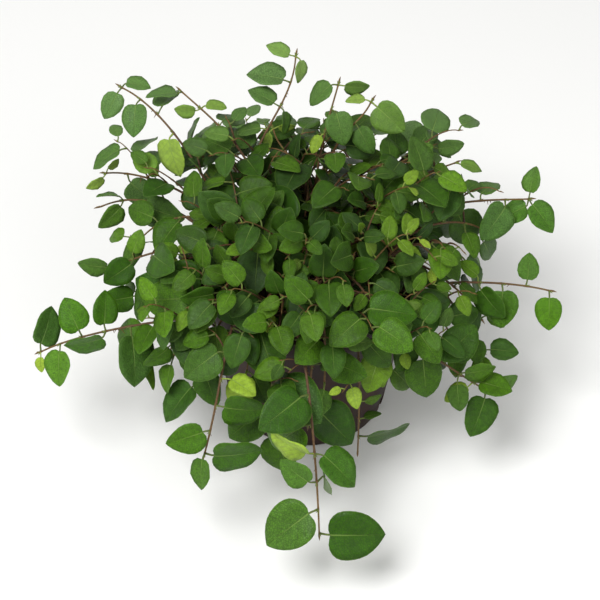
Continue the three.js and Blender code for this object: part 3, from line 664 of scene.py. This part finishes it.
def rootlets(plant):
    """Short brown aerial roots that sprout below a stem near its nodes: tapering crooked tubes."""
    points, stem = plant["points"], plant["key"]
    made = []
    for node in range(2, len(points) - 2):
        if draw(stem, node, 40) > ROOTLET_SHARE:
            continue
        ahead = unit(points[node + 1] - points[node - 1])
        below = unit(-UP + ahead * (ahead @ UP))
        aside = np.cross(ahead, below)
        for k in range(3 + int(5 * draw(stem, node, 41))):
            trait = traits((stem, node, k), 42, 47)
            way = unit(below + aside * trait[0] * 1.6 + ahead * trait[1])
            root = points[node] + ahead * (1 + 3.5 * k * 0.4) + below * 0.4
            length = 1.2 + 2.2 * (trait[2] + 0.5)
            share = np.array([0, 0.35, 0.7, 1])
            bend = (aside * trait[3] + ahead * trait[4]) * length * 0.8
            path = root + way * share[:, None] * length + bend * (share**2)[:, None]
            radii = ROOTLET_RADIUS * np.array([1, 0.8, 0.6, 0.3])
            made.append(tube(path, radii, ahead + 0.3 * aside, ROOTLET_SIDES, ROOTLET_LOOK, stem + k))
    return made


def age_of(leaf, plant):
    """How young a leaf looks, from 0 for deep green to 1 for yellow-green: small ones at a tip are young."""
    if leaf.get("youth") is not None:
        return leaf["youth"]
    small = 1 - leaf["length"] / plant["sizes"][0]
    near_tip = max(0, 1 - leaf["place"] / 3)
    chance = 0.22 * (draw(plant["key"], leaf["node"], 50) - 0.5)
    return clamped(0.12 + plant["ages"][0] * 0.6 + 0.5 * near_tip * small + chance)


def brightness_and_painted_shade_of(leaf, seed):
    """How bright a leaf looks, by chance and by how far out on the plant it is: deep in the crown and low
    down a leaf is darker, partly as an older leaf and partly as painted shade.
    """
    out = np.linalg.norm(leaf["base"] - CROWN_HEART) / SHADE_AND_AGE_SPAN
    outer = clamped(out - SHADE_AND_AGE_START) * clamped(leaf["base"][2] / SHADE_AND_AGE_HEIGHT)
    return CHANCE_BRIGHTNESS * draw(seed, 51) ** 1.5 + OUTER_PAINTED_LIGHT_AND_AGE * outer**1.2


def leaf_seed(plant, leaf, number):
    """A whole number of its own for a leaf, from its stem, its node and its place in the stem's list."""
    return plant["key"] * 97 + leaf["node"] * 7 + number


def leafy_stem(plant):
    """All surfaces of one stem: bark, rootlets, stalks, blades, stipules and the bud at its tip."""
    points = plant["points"]
    made = [stem_bark(plant)]
    if plant["girth"] == 1:
        made += rootlets(plant)
    for number, leaf in enumerate(plant["leaves"]):
        seed = leaf_seed(plant, leaf, number)
        age = age_of(leaf, plant)
        made.append(blade(leaf, (age, brightness_and_painted_shade_of(leaf, seed)), seed))
        made.append(stalk(leaf, age, seed))
        ahead = unit(leaf["at"] - points[leaf["node"] - 1])
        for side in (-1, 1):
            way = unit(ahead + leaf["stalk"] * 0.3 + leaf["across"] * side * 0.35)
            size = STIPULE_LENGTH * plant["girth"]
            made.append(scale_leaf(leaf["at"], way, leaf["face"], size, STIPULE_LOOK, seed))
    ahead = unit(points[-1] - points[-2])
    size = TIP_BUD_LENGTH * plant["girth"]
    made.append(scale_leaf(points[-1], ahead, UP, size, TIP_BUD_LOOK, plant["key"]))
    return made


def seen(samples):
    """Where the camera sees samples: cells across and up its view's plane, and how near they are to it."""
    away = samples - VIEW_TARGET
    near = away[:, 2] * VIEW_SIN - away[:, 1] * VIEW_COS
    size = (1 - near / VIEW_DISTANCE) * VIEW_CELL
    up = (away[:, 1] * VIEW_SIN + away[:, 2] * VIEW_COS) / size
    return np.floor(away[:, 0] / size).astype(int) + VIEW_CELLS, np.floor(up).astype(int) + VIEW_CELLS, near


class Room:
    """What is taken: a grid of cells, each marked where a sample point of something grown is near."""

    LOW = np.array([-190.0, -190.0, -20.0])  # the grid's lowest corner
    SIZE = (380, 380, 260)  # cells

    def __init__(self):
        self.taken = np.zeros(self.SIZE, bool)
        self.nearest = np.full((2 * VIEW_CELLS, 2 * VIEW_CELLS), np.inf)
        reach = np.arange(-2, 3)
        ball = np.stack(np.meshgrid(reach, reach, reach, indexing="ij"), axis=-1).reshape(-1, 3)
        self.ball = ball[np.linalg.norm(ball * CELL, axis=1) <= CLEARANCE]

    def cells(self, samples):
        """The cell that each sample lies in."""
        return np.floor((samples - self.LOW) / CELL).astype(int)

    def take(self, samples):
        """Marks the cells within CLEARANCE of samples."""
        near = self.cells(samples)[:, None] + self.ball
        self.taken[tuple(near.reshape(-1, 3).T)] = True

    def keep_in_view(self, samples):
        """Keeps the way from the camera to these samples clear, as cells of the view's plane."""
        across, up, near = seen(samples)
        self.nearest[across, up] = near

    def free(self, samples):
        """Whether all samples lie in free cells, off the pot and the soil, and hide nothing kept in view."""
        across, up, near = seen(samples)
        if (near > self.nearest[across, up]).any():
            return False
        away = np.hypot(samples[:, 0], samples[:, 1])
        over_soil = away < SHOULDER_RADIUS - SOIL_CLEARANCE
        floor = np.where(over_soil, SOIL_TOP + SOIL_CLEARANCE, POT_HEIGHT + RIM_CLEARANCE)
        outside = (away > RIM_RADIUS + GROUND_CLEARANCE) & (samples[:, 2] > GROUND_CLEARANCE)
        off_pot = (samples[:, 2] > floor) | outside
        return off_pot.all() and not self.taken[tuple(self.cells(samples).T)].any()


def blade_samples(leaf, seed):
    """Points all over a leaf's blade, so close that nothing slips between them."""
    rows = int(leaf["length"] / SAMPLE_STEP) + 2
    corners, _, _ = blade_form(leaf, seed, rows, np.linspace(-1, 1, rows - 1))
    return corners[1:].reshape(-1, 3)


def stem_samples(plant, start=0.0):
    """Points along a stem's line, from the share start on."""
    return cubic(plant["control"], np.linspace(start, 1, STEM_SAMPLES))


def add_leaf(plant, poses, room, in_view=False):
    """Gives a plant a leaf in the first of its poses that has room, if any. In view, nothing may hide it."""
    for leaf in poses:
        samples = blade_samples(leaf, leaf_seed(plant, leaf, len(plant["leaves"])))
        if room.free(samples):
            plant["leaves"].append(leaf)
            room.take(samples)
            if in_view:
                room.keep_in_view(samples)
            return


def shoot_line(root, outward, key, attempt):
    """A side shoot's cubic curve: up from its node and then out to a side."""
    trait = [draw(key, attempt, k) for k in range(4)]
    reach = SHOOT_REACH[0] + SHOOT_REACH[1] * trait[0] * trait[0]
    turn = math.radians(SHOOT_TURN * (trait[1] - 0.5))
    cos, sin = math.cos(turn), math.sin(turn)
    away = np.array([cos * outward[0] - sin * outward[1], sin * outward[0] + cos * outward[1], 0.0])
    rise = 0.25 + 0.65 * trait[2]
    first = root + (UP * 0.36 + away * 0.16) * reach
    second = root + (UP * (rise + 0.12) + away * (0.5 + 0.2 * trait[3])) * reach
    return np.array([root, first, second, root + (UP * rise + away * (0.95 - 0.3 * rise)) * reach])


def side_shoot(root, key, room):
    """A short shoot from a stem's node, its root, with the leaves that have room, or None."""
    outward = unit(root * (1, 1, 0) + 1e-6)
    young = draw(key, 3) < YOUNG_SHARE
    least, more = YOUNG_SHOOT_LEAF if young else SHOOT_LEAF
    sizes = (least + more * draw(key, 1), 0.55 + 0.3 * draw(key, 2))
    ages = (0.4 + 0.5 * draw(key, 4) if young else 0.22 * draw(key, 4) ** 2, 1)
    for attempt in range(SHOOT_TRIES):
        control = shoot_line(root, outward, key, attempt)
        nodes = stem_points(control, YOUNG_SHOOT_SPACING if young else SHOOT_SPACING)[1:]
        points = np.vstack([root - UP * SHOOT_SUNK, nodes])
        shoot = dict(key=key, control=control, points=points, leaves=[], sizes=sizes)
        shoot.update(girth=SHOOT_GIRTH, ages=ages)
        if not room.free(stem_samples(shoot, 0.3)):
            continue
        for node in range(len(points) - 1, 1, -1):
            add_leaf(shoot, (leaf_pose(points, node, key, k, sizes) for k in range(SHOOT_LEAF_TRIES)), room)
        if shoot["leaves"]:
            room.take(stem_samples(shoot))
            return shoot
    return None


def shoots_of(mother, room):
    """The side shoots of a stem: many in the crown, and a few further out."""
    found = []
    for node, at in enumerate(mother["points"][1:-1], 1):
        away = math.hypot(at[0], at[1])
        shown_height = at[1] * VIEW_SIN + at[2] * VIEW_COS
        in_crown = away < CROWN_RADIUS and at[2] > CROWN_FLOOR
        key = FIRST_SHOOT_KEY + (mother["key"] * KEYS_FOR_STEM + node) * HEART_SHOOTS
        if away < OUTER_RADIUS and shown_height < CROWN_TOP and (in_crown or draw(key, 0) < OUTER_SHARE):
            count = HEART_SHOOTS if away < HEART_RADIUS else 1
            found += [side_shoot(at, key + k, room) for k in range(count)]
    return [shoot for shoot in found if shoot is not None]


def welded(one):
    """A surface with its corners that lie in one place joined, and without the faces that this closes."""
    places = np.round(one["corners"], 4)
    _, first, place = np.unique(places, axis=0, return_index=True, return_inverse=True)
    faces = place.reshape(-1)[one["faces"]].tolist()
    kept = [[c for k, c in enumerate(face) if c != face[k - 1]] for face in faces]
    good = [len(face) > 2 for face in kept]
    joined = {key: one[key][first] for key in AT_CORNERS}
    return dict(joined, faces=[face for face in kept if len(face) > 2], finish=one["finish"][good])


def placed(name, data):
    """A new object in the scene."""
    made = bpy.data.objects.new(name, data)
    bpy.context.scene.collection.objects.link(made)
    return made


def mesh_of(name, surfaces, finishes):
    """One object from surfaces in millimetres, with what the finishes read kept at each corner."""
    parts = [welded(one) for one in surfaces]
    starts = np.cumsum([0] + [len(part["corners"]) for part in parts]).tolist()
    faces = [[c + start for c in face] for part, start in zip(parts, starts) for face in part["faces"]]
    corners, place, growth = (np.vstack([part[key] for part in parts]) for key in AT_CORNERS)
    mesh = bpy.data.meshes.new(name)
    mesh.from_pydata((corners * MM).tolist(), [], faces)
    for material in finishes:
        mesh.materials.append(material)
    finish = np.concatenate([part["finish"] for part in parts])
    mesh.polygons.foreach_set("material_index", finish.astype(np.int32))
    mesh.polygons.foreach_set("use_smooth", np.ones(len(faces), bool))
    for label, values in (("place", place), ("growth", growth)):
        layer = mesh.attributes.new(label, "FLOAT_VECTOR", "POINT")
        layer.data.foreach_set("vector", values.astype(np.float32).reshape(-1))
    mesh.update()
    return placed(name, mesh)


# Finishes
class Finish:
    """A procedural material, and short ways to add its nodes."""

    def __init__(self, name, roughness, **sockets):
        self.material = bpy.data.materials.new(name)
        self.material.use_nodes = True
        self.tree = self.material.node_tree
        self.shader = self.tree.nodes["Principled BSDF"]
        self.shader.inputs["Roughness"].default_value = roughness
        for socket, value in sockets.items():
            self.shader.inputs[socket.replace("_", " ")].default_value = value

    def set(self, socket, value):
        if hasattr(value, "links"):
            self.tree.links.new(value, socket)
        else:
            socket.default_value = value

    def node(self, kind, inputs=None, **settings):
        made = self.tree.nodes.new(kind)
        for key, value in settings.items():
            setattr(made, key, value)
        for key, value in (inputs or {}).items():
            self.set(made.inputs[key], value)
        return made

    def math(self, operation, *values):
        inputs = dict(enumerate(values))
        return self.node("ShaderNodeMath", inputs, operation=operation).outputs[0]

    def times(self, first, second):
        return self.math("MULTIPLY", first, second)

    def ramp(self, value, low, high, start=0.0, end=1.0):
        """The value's share of the way from low to high, smoothed, as a number from start to end."""
        inputs = {"Value": value, "From Min": low, "From Max": high, "To Min": start, "To Max": end}
        return self.node("ShaderNodeMapRange", inputs, interpolation_type="SMOOTHSTEP").outputs[0]

    def mix(self, share, first, second, blend="MIX"):
        inputs = {0: share, 6: first, 7: second}
        return self.node("ShaderNodeMix", inputs, data_type="RGBA", blend_type=blend).outputs[2]

    def parts(self, vector):
        split = self.node("ShaderNodeSeparateXYZ", {0: vector})
        return split.outputs[0], split.outputs[1], split.outputs[2]

    def read(self, attribute):
        return self.node("ShaderNodeAttribute", attribute_name=attribute).outputs["Vector"]

    def objects_place(self):
        return self.node("ShaderNodeTexCoord").outputs["Object"]

    def vector(self, x, y, z):
        return self.node("ShaderNodeCombineXYZ", {0: x, 1: y, 2: z}).outputs[0]

    def noise(self, vector, scale, detail=2.0):
        inputs = {"Vector": vector, "Scale": scale, "Detail": detail}
        return self.node("ShaderNodeTexNoise", inputs).outputs["Fac"]

    def bump(self, height, depth):
        self.feed("Normal", self.node("ShaderNodeBump", {"Height": height, "Distance": depth}).outputs[0])

    def feed(self, socket, value):
        self.set(self.shader.inputs[socket], value)


def shade(red, green, blue):
    """A colour given as a screen shows it, from 0 to 255, as the shader reads it."""
    screen = np.array([red, green, blue]) / 255
    line = np.where(screen <= 0.04045, screen / 12.92, ((screen + 0.055) / 1.055) ** 2.4)
    return (*line.tolist(), 1.0)


# Leaf greens
MATURE = shade(50, 92, 4)
FRESH = shade(92, 134, 20)
YOUNG = shade(142, 170, 54)
DULL = shade(66, 98, 44)
# Pale grey green of the painted sheen on the leaves at the back
PAINTED_SHEEN = shade(128, 160, 102)
BACK = shade(140, 160, 110)
NET = shade(26, 54, 8)
RIB = shade(140, 168, 84)
EDGE = shade(120, 160, 60)
# Bark, from the root to the tip, stalks from old to young, and rootlets
BARK_SHADES = (shade(60, 40, 28), shade(92, 66, 40), shade(112, 86, 44))
STALK_SHADES = (shade(92, 108, 48), shade(140, 160, 66))
ROOTLET = shade(120, 74, 38)
# The pot's plastic, clean, dusty and scuffed, and the soil, dark, pale and fibres
PLASTIC = (shade(36, 22, 19), shade(62, 43, 37), shade(84, 64, 56))
PEAT = (shade(30, 20, 14), shade(74, 52, 36), shade(96, 72, 50))
FLOOR = shade(250, 250, 248)
VEIN_PAIRS = 6.0  # side veins along one leaf
NET_CELLS = 23.0  # meshes of the vein net along one leaf


def leaf_finish(name, back):
    """A leaf: green by its age, with a pale midrib, side veins that leave it forwards in curves, a net of
    small veins between them that lies sunken, and a pale edge. The back is paler, and its veins stand out.
    Leaves at the plant's back are painted paler, a painted sheen. Leaves deep in the crown or low down are
    darker, partly as older leaves and partly as painted shade, and the sunken side veins are darkened as
    painted shade."""
    f = Finish(name, 0.5, IOR=1.42, Specular_IOR_Level=0.26)
    across, along, seed = f.parts(f.read("place"))
    age, brightness_and_painted_shade, edge = f.parts(f.read("growth"))
    aside = f.math("ABSOLUTE", across)
    width = f.math("MULTIPLY_ADD", along, -0.010, 0.014)
    rib = f.ramp(f.math("DIVIDE", aside, width), 1.5, 0.6)
    forwards = f.times(aside, f.math("MULTIPLY_ADD", aside, -0.55, 0.85))
    other_side = f.times(f.math("GREATER_THAN", across, 0.0), 0.4)
    rank = f.math("MULTIPLY_ADD", f.math("SUBTRACT", along, forwards), VEIN_PAIRS, other_side)
    off_vein = f.math("ABSOLUTE", f.math("SUBTRACT", f.math("FRACT", rank), 0.5))
    side_vein = f.ramp(off_vein, 0.13, 0.02)
    cell = f.vector(across, along, seed)
    inputs = {"Vector": cell, "Scale": NET_CELLS, "Randomness": 0.9}
    meshes = f.node("ShaderNodeTexVoronoi", inputs, feature="DISTANCE_TO_EDGE")
    net = f.ramp(meshes.outputs["Distance"], 0.16, 0.03)
    green = f.mix(f.ramp(age, 0.0, 0.45), MATURE, FRESH)
    dull = f.math("FRACT", f.times(seed, 7.31))
    green = f.mix(f.times(f.ramp(dull, 0.4, 1.0), 0.7), green, DULL)
    green = f.mix(f.ramp(age, 0.35, 0.85), green, YOUNG)
    cloud = f.noise(cell, 3.2, 3.0)
    mottle = f.ramp(f.noise(cell, 9.0, 4.0), 0.3, 0.7, 0.86, 1.17)
    # Painted shade: the sunken side veins are darkened as by the shade in their grooves; the mottle is the
    # leaf's own uneven tone
    mottle_and_painted_vein_shade = f.math("MULTIPLY_ADD", side_vein, -0.18, mottle)
    # Brightness by chance and by youth, darker deep in the crown and low down, partly as older leaves and
    # partly as painted shade
    brightness_youth_and_painted_shade = f.math("MAXIMUM", brightness_and_painted_shade, f.times(age, 0.8))
    light = f.math("MULTIPLY_ADD", brightness_youth_and_painted_shade, 1.2, f.ramp(cloud, 0.3, 0.7, 0.25, 0.48))
    light = f.times(light, mottle_and_painted_vein_shade)
    tint = f.vector(light, light, f.times(light, 0.95))
    green = f.mix(1.0, green, tint, "MULTIPLY")
    # Painted sheen: leaves towards the back, the brighter ones more, are mixed towards a pale grey green,
    # standing in for light glancing off them
    _, depth, _ = f.parts(f.objects_place())
    painted_sheen = f.times(f.ramp(depth, -0.01, 0.08), f.ramp(brightness_and_painted_shade, 0.15, 0.7, 0.0, 0.5))
    green = f.mix(painted_sheen, green, PAINTED_SHEEN)
    if back:
        green = f.mix(0.4, green, BACK)
    young = f.ramp(age, 0.15, 0.7)

    def by_age(old, fresh):
        return f.ramp(young, 0.0, 1.0, old, fresh)

    green = f.mix(f.times(net, by_age(0.15 if back else 0.5, 0.1)), green, NET)
    green = f.mix(f.times(side_vein, by_age(0.03, 0.2)), green, RIB)
    fade = f.ramp(along, by_age(0.1, 0.5), 1.0, 1.0, 0.15)
    strength = f.times(fade, by_age(0.4, 0.8))
    green = f.mix(f.times(rib, strength), green, RIB)
    green = f.mix(f.ramp(edge, 0.93, 1.0, 0.0, 0.25), green, EDGE)
    f.feed("Base Color", green)
    relief = f.math("MULTIPLY_ADD", side_vein, 0.3, f.times(net, 0.4))
    relief = f.math("MULTIPLY_ADD", rib, 1.0, relief)
    relief = f.times(relief, 1.0 if back else -1.0)
    relief = f.math("MULTIPLY_ADD", f.noise(cell, 60.0), 0.25, relief)
    f.bump(relief, 0.2 * MM)
    f.feed("Roughness", f.ramp(cloud, 0.3, 0.75, 0.38, 0.52))
    return f.material


def bark_finish():
    """Bark: brown and woody low down, olive and then green towards a stem's tip, streaked along it."""
    f = Finish("fig_bark", 0.6, Specular_IOR_Level=0.35)
    around, along, seed = f.parts(f.read("place"))
    age, _, soft = f.parts(f.read("growth"))
    low, middle, high = BARK_SHADES
    wood = f.mix(f.ramp(age, 0.0, 0.55), low, middle)
    wood = f.mix(f.ramp(age, 0.55, 1.0), wood, high)
    stalk_green = f.mix(f.ramp(age, 0.1, 0.8), *STALK_SHADES)
    base = f.mix(f.ramp(soft, 0.2, 0.6), wood, stalk_green)
    base = f.mix(f.ramp(soft, 0.92, 1.0), base, ROOTLET)
    streaks = f.noise(f.vector(around, f.times(along, 0.35), seed), 2.4, 4.0)
    light = f.ramp(streaks, 0.25, 0.75, 0.6, 1.3)
    f.feed("Base Color", f.mix(1.0, base, f.vector(light, light, light), "MULTIPLY"))
    f.bump(streaks, 0.25 * MM)
    return f.material


def pot_finish():
    """Thin moulded plastic, dark aubergine brown: faint scuffs along it, dusty spots and a fine grain."""
    f = Finish("nursery_plastic", 0.5, Specular_IOR_Level=0.15)
    at = f.objects_place()
    dust = f.noise(at, 55.0, 5.0)
    x, y, z = f.parts(at)
    scuffs = f.noise(f.vector(x, y, f.times(z, 0.12)), 420.0, 3.0)
    clean, dusty, scuffed = PLASTIC
    base = f.mix(f.ramp(dust, 0.35, 0.75), clean, dusty)
    f.feed("Base Color", f.mix(f.ramp(scuffs, 0.58, 0.8, 0.0, 0.35), base, scuffed))
    f.feed("Roughness", f.ramp(dust, 0.3, 0.7, 0.45, 0.65))
    f.bump(f.noise(at, 2600.0), 0.05 * MM)
    return f.material


def soil_finish():
    """Moist peat: dark brown crumbs of several sizes, with paler fibres among them."""
    f = Finish("peat", 0.95)
    at = f.objects_place()
    crumbs = f.node("ShaderNodeTexVoronoi", {"Vector": at, "Scale": 420.0}).outputs["Distance"]
    lumps = f.noise(at, 140.0, 6.0)
    dark, pale, fibres = PEAT
    base = f.mix(f.ramp(lumps, 0.3, 0.7), dark, pale)
    f.feed("Base Color", f.mix(f.ramp(crumbs, 0.5, 0.9, 0.0, 0.5), base, fibres))
    f.bump(f.math("ADD", crumbs, lumps), 1.2 * MM)
    return f.material


# The pot and the soil
POT_COLUMNS = 128
RIM_FLARE = 0.8
RIM_LIP = 1  # how far the rim stands in from the wall
BEND_RADII = (2.0, 0.8, 0.6, 0.7, 0.7, 1.0, 1.2)  # of the section's corners, from the foot's outside on
BEND_STEPS = 4
CREASE_ANGLE = 35
SLOT_COUNT = 8
SLOT_WIDTH = 5
SLOT_HEIGHT = 11
SLOT_DEPTH = 9
HOLE_RADIUS = 4
HOLE_RING = 24
HOLE_COUNT = 6
HOLE_SIDES = 24
SOIL_RINGS = 40
SOIL_COLUMNS = 96
SOIL_FOOT = 2
SOIL_SINK = 0.8
LUMP_HEIGHT = 0.7
# Waves that add up to the soil's lumps: how fast each turns across and back, its start, and its height
LUMP_WAVES = (
    (0.31, 0.13, 1.0, 0.8),
    (0.74, -0.52, 0.5, 0.5),
    (-0.4, 1.13, 2.1, 0.45),
    (1.7, 1.3, 0.3, 0.3),
    (2.9, -1.1, 1.3, 0.2),
    (-1.9, 3.1, 0.9, 0.2),
)


def lathe(profile, columns):
    """A surface turned about the pot's axis: each corner is the profile's radius times the cosine and the
    sine of the angle, at the profile's height. The profile runs up the outside and down the inside."""
    profile = np.asarray(profile, float)
    angle = np.arange(columns) * 2 * math.pi / columns
    radius, height = profile[:, :1], profile[:, 1:]
    corners = as_rows(radius * np.cos(angle), radius * np.sin(angle), height)
    faces = grid_faces(len(profile), columns, closed=True)
    return surface(corners, faces, 0, 0, ONLY_FINISH)


def rounded(a, b, c, radius):
    """The bend from a by b to c, as points of a curve that leaves b's corner rounded."""
    a, b, c = (np.asarray(p, float) for p in (a, b, c))
    start, end = b + unit(a - b) * radius, b + unit(c - b) * radius
    t = np.linspace(0, 1, BEND_STEPS)[:, None]
    return (1 - t) ** 2 * start + 2 * (1 - t) * t * b + t**2 * end


def pot_profile():
    """The pot's section, from the middle of its foot, up the outside, over the rim and down the inside."""
    band = POT_HEIGHT - RIM_BAND
    sharp = [
        (0, 0),
        (FOOT_RADIUS, 0),
        (SHOULDER_RADIUS, band),
        (RIM_RADIUS, band),
        (RIM_RADIUS + RIM_FLARE, POT_HEIGHT),
        (RIM_RADIUS - POT_WALL - RIM_LIP, POT_HEIGHT),
        (SHOULDER_RADIUS - POT_WALL, band),
        (FOOT_RADIUS - POT_WALL, POT_WALL),
        (0, POT_WALL),
    ]
    bends = [rounded(*sharp[k : k + 3], radius) for k, radius in enumerate(BEND_RADII)]
    return np.vstack([[(0, 0)], *bends, [(0, POT_WALL)]])


def box_at(centre, size, turn):
    """A closed box, turned about the pot's axis."""
    signs = np.array([(x, y, z) for x in (-1, 1) for y in (-1, 1) for z in (-1, 1)]) / 2
    cos, sin = math.cos(turn), math.sin(turn)
    turned = np.array([[cos, -sin, 0], [sin, cos, 0], [0, 0, 1]])
    corners = (signs * size + centre) @ turned.T
    faces = np.array([(0, 1, 3, 2), (4, 6, 7, 5), (0, 4, 5, 1), (2, 3, 7, 6), (0, 2, 6, 4), (1, 5, 7, 3)])
    return surface(corners, faces, 0, 0, ONLY_FINISH)


def peg_at(radius, height, sides, place):
    """A closed upright peg through the pot's floor."""
    peg = lathe([(0, -height), (radius, -height), (radius, height), (0, height)], sides)
    peg["corners"] = peg["corners"] + place
    return peg


def make_pot():
    """The pot turned smooth, with its drain slots and holes cut through it."""
    pot = mesh_of("nursery_pot", [lathe(pot_profile(), POT_COLUMNS)], [pot_finish()])
    turns = [2 * math.pi * (k + 0.5) / SLOT_COUNT for k in range(SLOT_COUNT)]
    slot = (SLOT_DEPTH, SLOT_WIDTH, 2 * SLOT_HEIGHT)
    cuts = [box_at((FOOT_RADIUS, 0, 0), slot, turn) for turn in turns]
    for k in range(HOLE_COUNT):
        place = heading_of(360 * k / HOLE_COUNT) * HOLE_RING
        cuts.append(peg_at(HOLE_RADIUS, 4 * POT_WALL, HOLE_SIDES, place))
    cutter = mesh_of("pot_cutter", cuts, [])
    cut = pot.modifiers.new("drains", "BOOLEAN")
    cut.object = cutter
    cut.operation = "DIFFERENCE"
    cut.solver = "EXACT"
    apply_modifiers(pot)
    bpy.data.objects.remove(cutter)
    with bpy.context.temp_override(object=pot, selected_editable_objects=[pot]):
        bpy.ops.object.shade_smooth_by_angle(angle=math.radians(CREASE_ANGLE))
    return pot


def apply_modifiers(piece):
    """Gives a piece the mesh that its modifiers make."""
    graph = bpy.context.evaluated_depsgraph_get()
    mesh = bpy.data.meshes.new_from_object(piece.evaluated_get(graph))
    piece.modifiers.clear()
    piece.data = mesh


def make_soil():
    """The soil: a disc turned about the pot's axis, whose top is lifted by sums of waves into lumps."""
    low, high = FOOT_RADIUS - POT_WALL - 0.8, SHOULDER_RADIUS - POT_WALL - 1
    rings = np.linspace(1, 0, SOIL_RINGS)
    top = as_rows(high * rings, SOIL_TOP)
    soil = lathe(np.vstack([[(0, SOIL_FOOT), (low, SOIL_FOOT)], top]), SOIL_COLUMNS)
    x, y, z = soil["corners"].T
    lumps = sum(height * np.sin(a * x + b * y + phase) for a, b, phase, height in LUMP_WAVES)
    lumpy = np.where(z > SOIL_TOP - 1, z - SOIL_SINK + lumps * LUMP_HEIGHT, z)
    soil["corners"] = as_rows(x, y, lumpy)
    return mesh_of("peat_soil", [soil], [soil_finish()])


# The set
FLOOR_HALF = 6000
SKY_STRENGTH = 0.4


def make_camera():
    """The camera, VIEW_DISTANCE away from VIEW_TARGET."""
    data = bpy.data.cameras.new("camera")
    camera = placed("camera", data)
    bpy.context.scene.camera = camera
    camera.location = (VIEW_TARGET + TO_VIEWER * VIEW_DISTANCE) * MM
    camera.rotation_euler = (math.radians(90 - VIEW_HEIGHT), 0, 0)
    data.angle = 2 * math.atan(PICTURE_WIDTH / 2 * VIEW_MM_PER_PIXEL / VIEW_DISTANCE)
    data.clip_end = 20


def make_light(name, place, size, power):
    """A round soft light that looks at the plant."""
    data = bpy.data.lights.new(name, "AREA")
    data.shape = "DISK"
    data.size = size
    data.energy = power
    lamp = placed(name, data)
    lamp.location = place
    aim = VIEW_TARGET * MM - place
    lamp.rotation_euler = (math.atan2(math.hypot(aim[0], aim[1]), -aim[2]), 0, math.atan2(-aim[0], aim[1]))


def make_set():
    """A pale floor, and soft light from above with more from the front left."""
    spread = np.array([(-1, -1, 0), (1, -1, 0), (1, 1, 0), (-1, 1, 0)]) * FLOOR_HALF * MM
    mesh = bpy.data.meshes.new("floor")
    mesh.from_pydata(spread.tolist(), [], [(0, 1, 2, 3)])
    mesh.materials.append(Finish("studio_floor", 0.9, Base_Color=FLOOR, Specular_IOR_Level=0.1).material)
    floor = placed("floor", mesh)
    world = bpy.data.worlds.new("studio")
    world.use_nodes = True
    sky = world.node_tree.nodes["Background"].inputs
    sky["Color"].default_value = (1, 1, 1, 1)
    sky["Strength"].default_value = SKY_STRENGTH
    bpy.context.scene.world = world
    make_light("key", np.array([-0.5, -0.6, 1.5]), 0.8, 22)
    make_light("fill", np.array([0.9, -0.9, 1.0]), 1.2, 6)
    bpy.context.scene.view_settings.view_transform = "Standard"


def dress(piece, slot, *nodes):
    """Hangs a piece on the one body and hides the imported nodes it stands for; the slot is not used. Nothing
    moves, so all ride on the one body.
    """
    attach(piece, "root")
    if nodes:
        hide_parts(*nodes)


make_camera()
make_set()
dress(make_pot(), "pot", "pot")
dress(make_soil(), "soil", "soil")
leaf_finishes = [leaf_finish("fig_leaf_top", False), leaf_finish("fig_leaf_back", True), bark_finish()]
plants = [grown(stem) for stem in range(len(STEMS))]
room = Room()
for plant in plants:
    room.take(stem_samples(plant))
    for number, leaf in enumerate(plant["leaves"]):
        samples = blade_samples(leaf, leaf_seed(plant, leaf, number))
        room.take(samples)
        if "youth" in leaf:
            room.keep_in_view(samples)
for stem, rows in ADDED.items():
    plant = plants[stem - 1]
    for row in rows:
        tries = range(SHOOT_LEAF_TRIES)
        poses = (shown_pose(plant["points"], plant["key"], row, k) for k in tries)
        add_leaf(plant, poses, room, in_view=True)
for stem, plant in enumerate(plants):
    surfaces = leafy_stem(plant)
    for shoot in shoots_of(plant, room):
        surfaces += leafy_stem(shoot)
    piece = mesh_of(f"creeping_stem_{stem + 1:02d}", surfaces, leaf_finishes)
    dress(piece, "foliage", f"stem_{stem + 1:02d}")
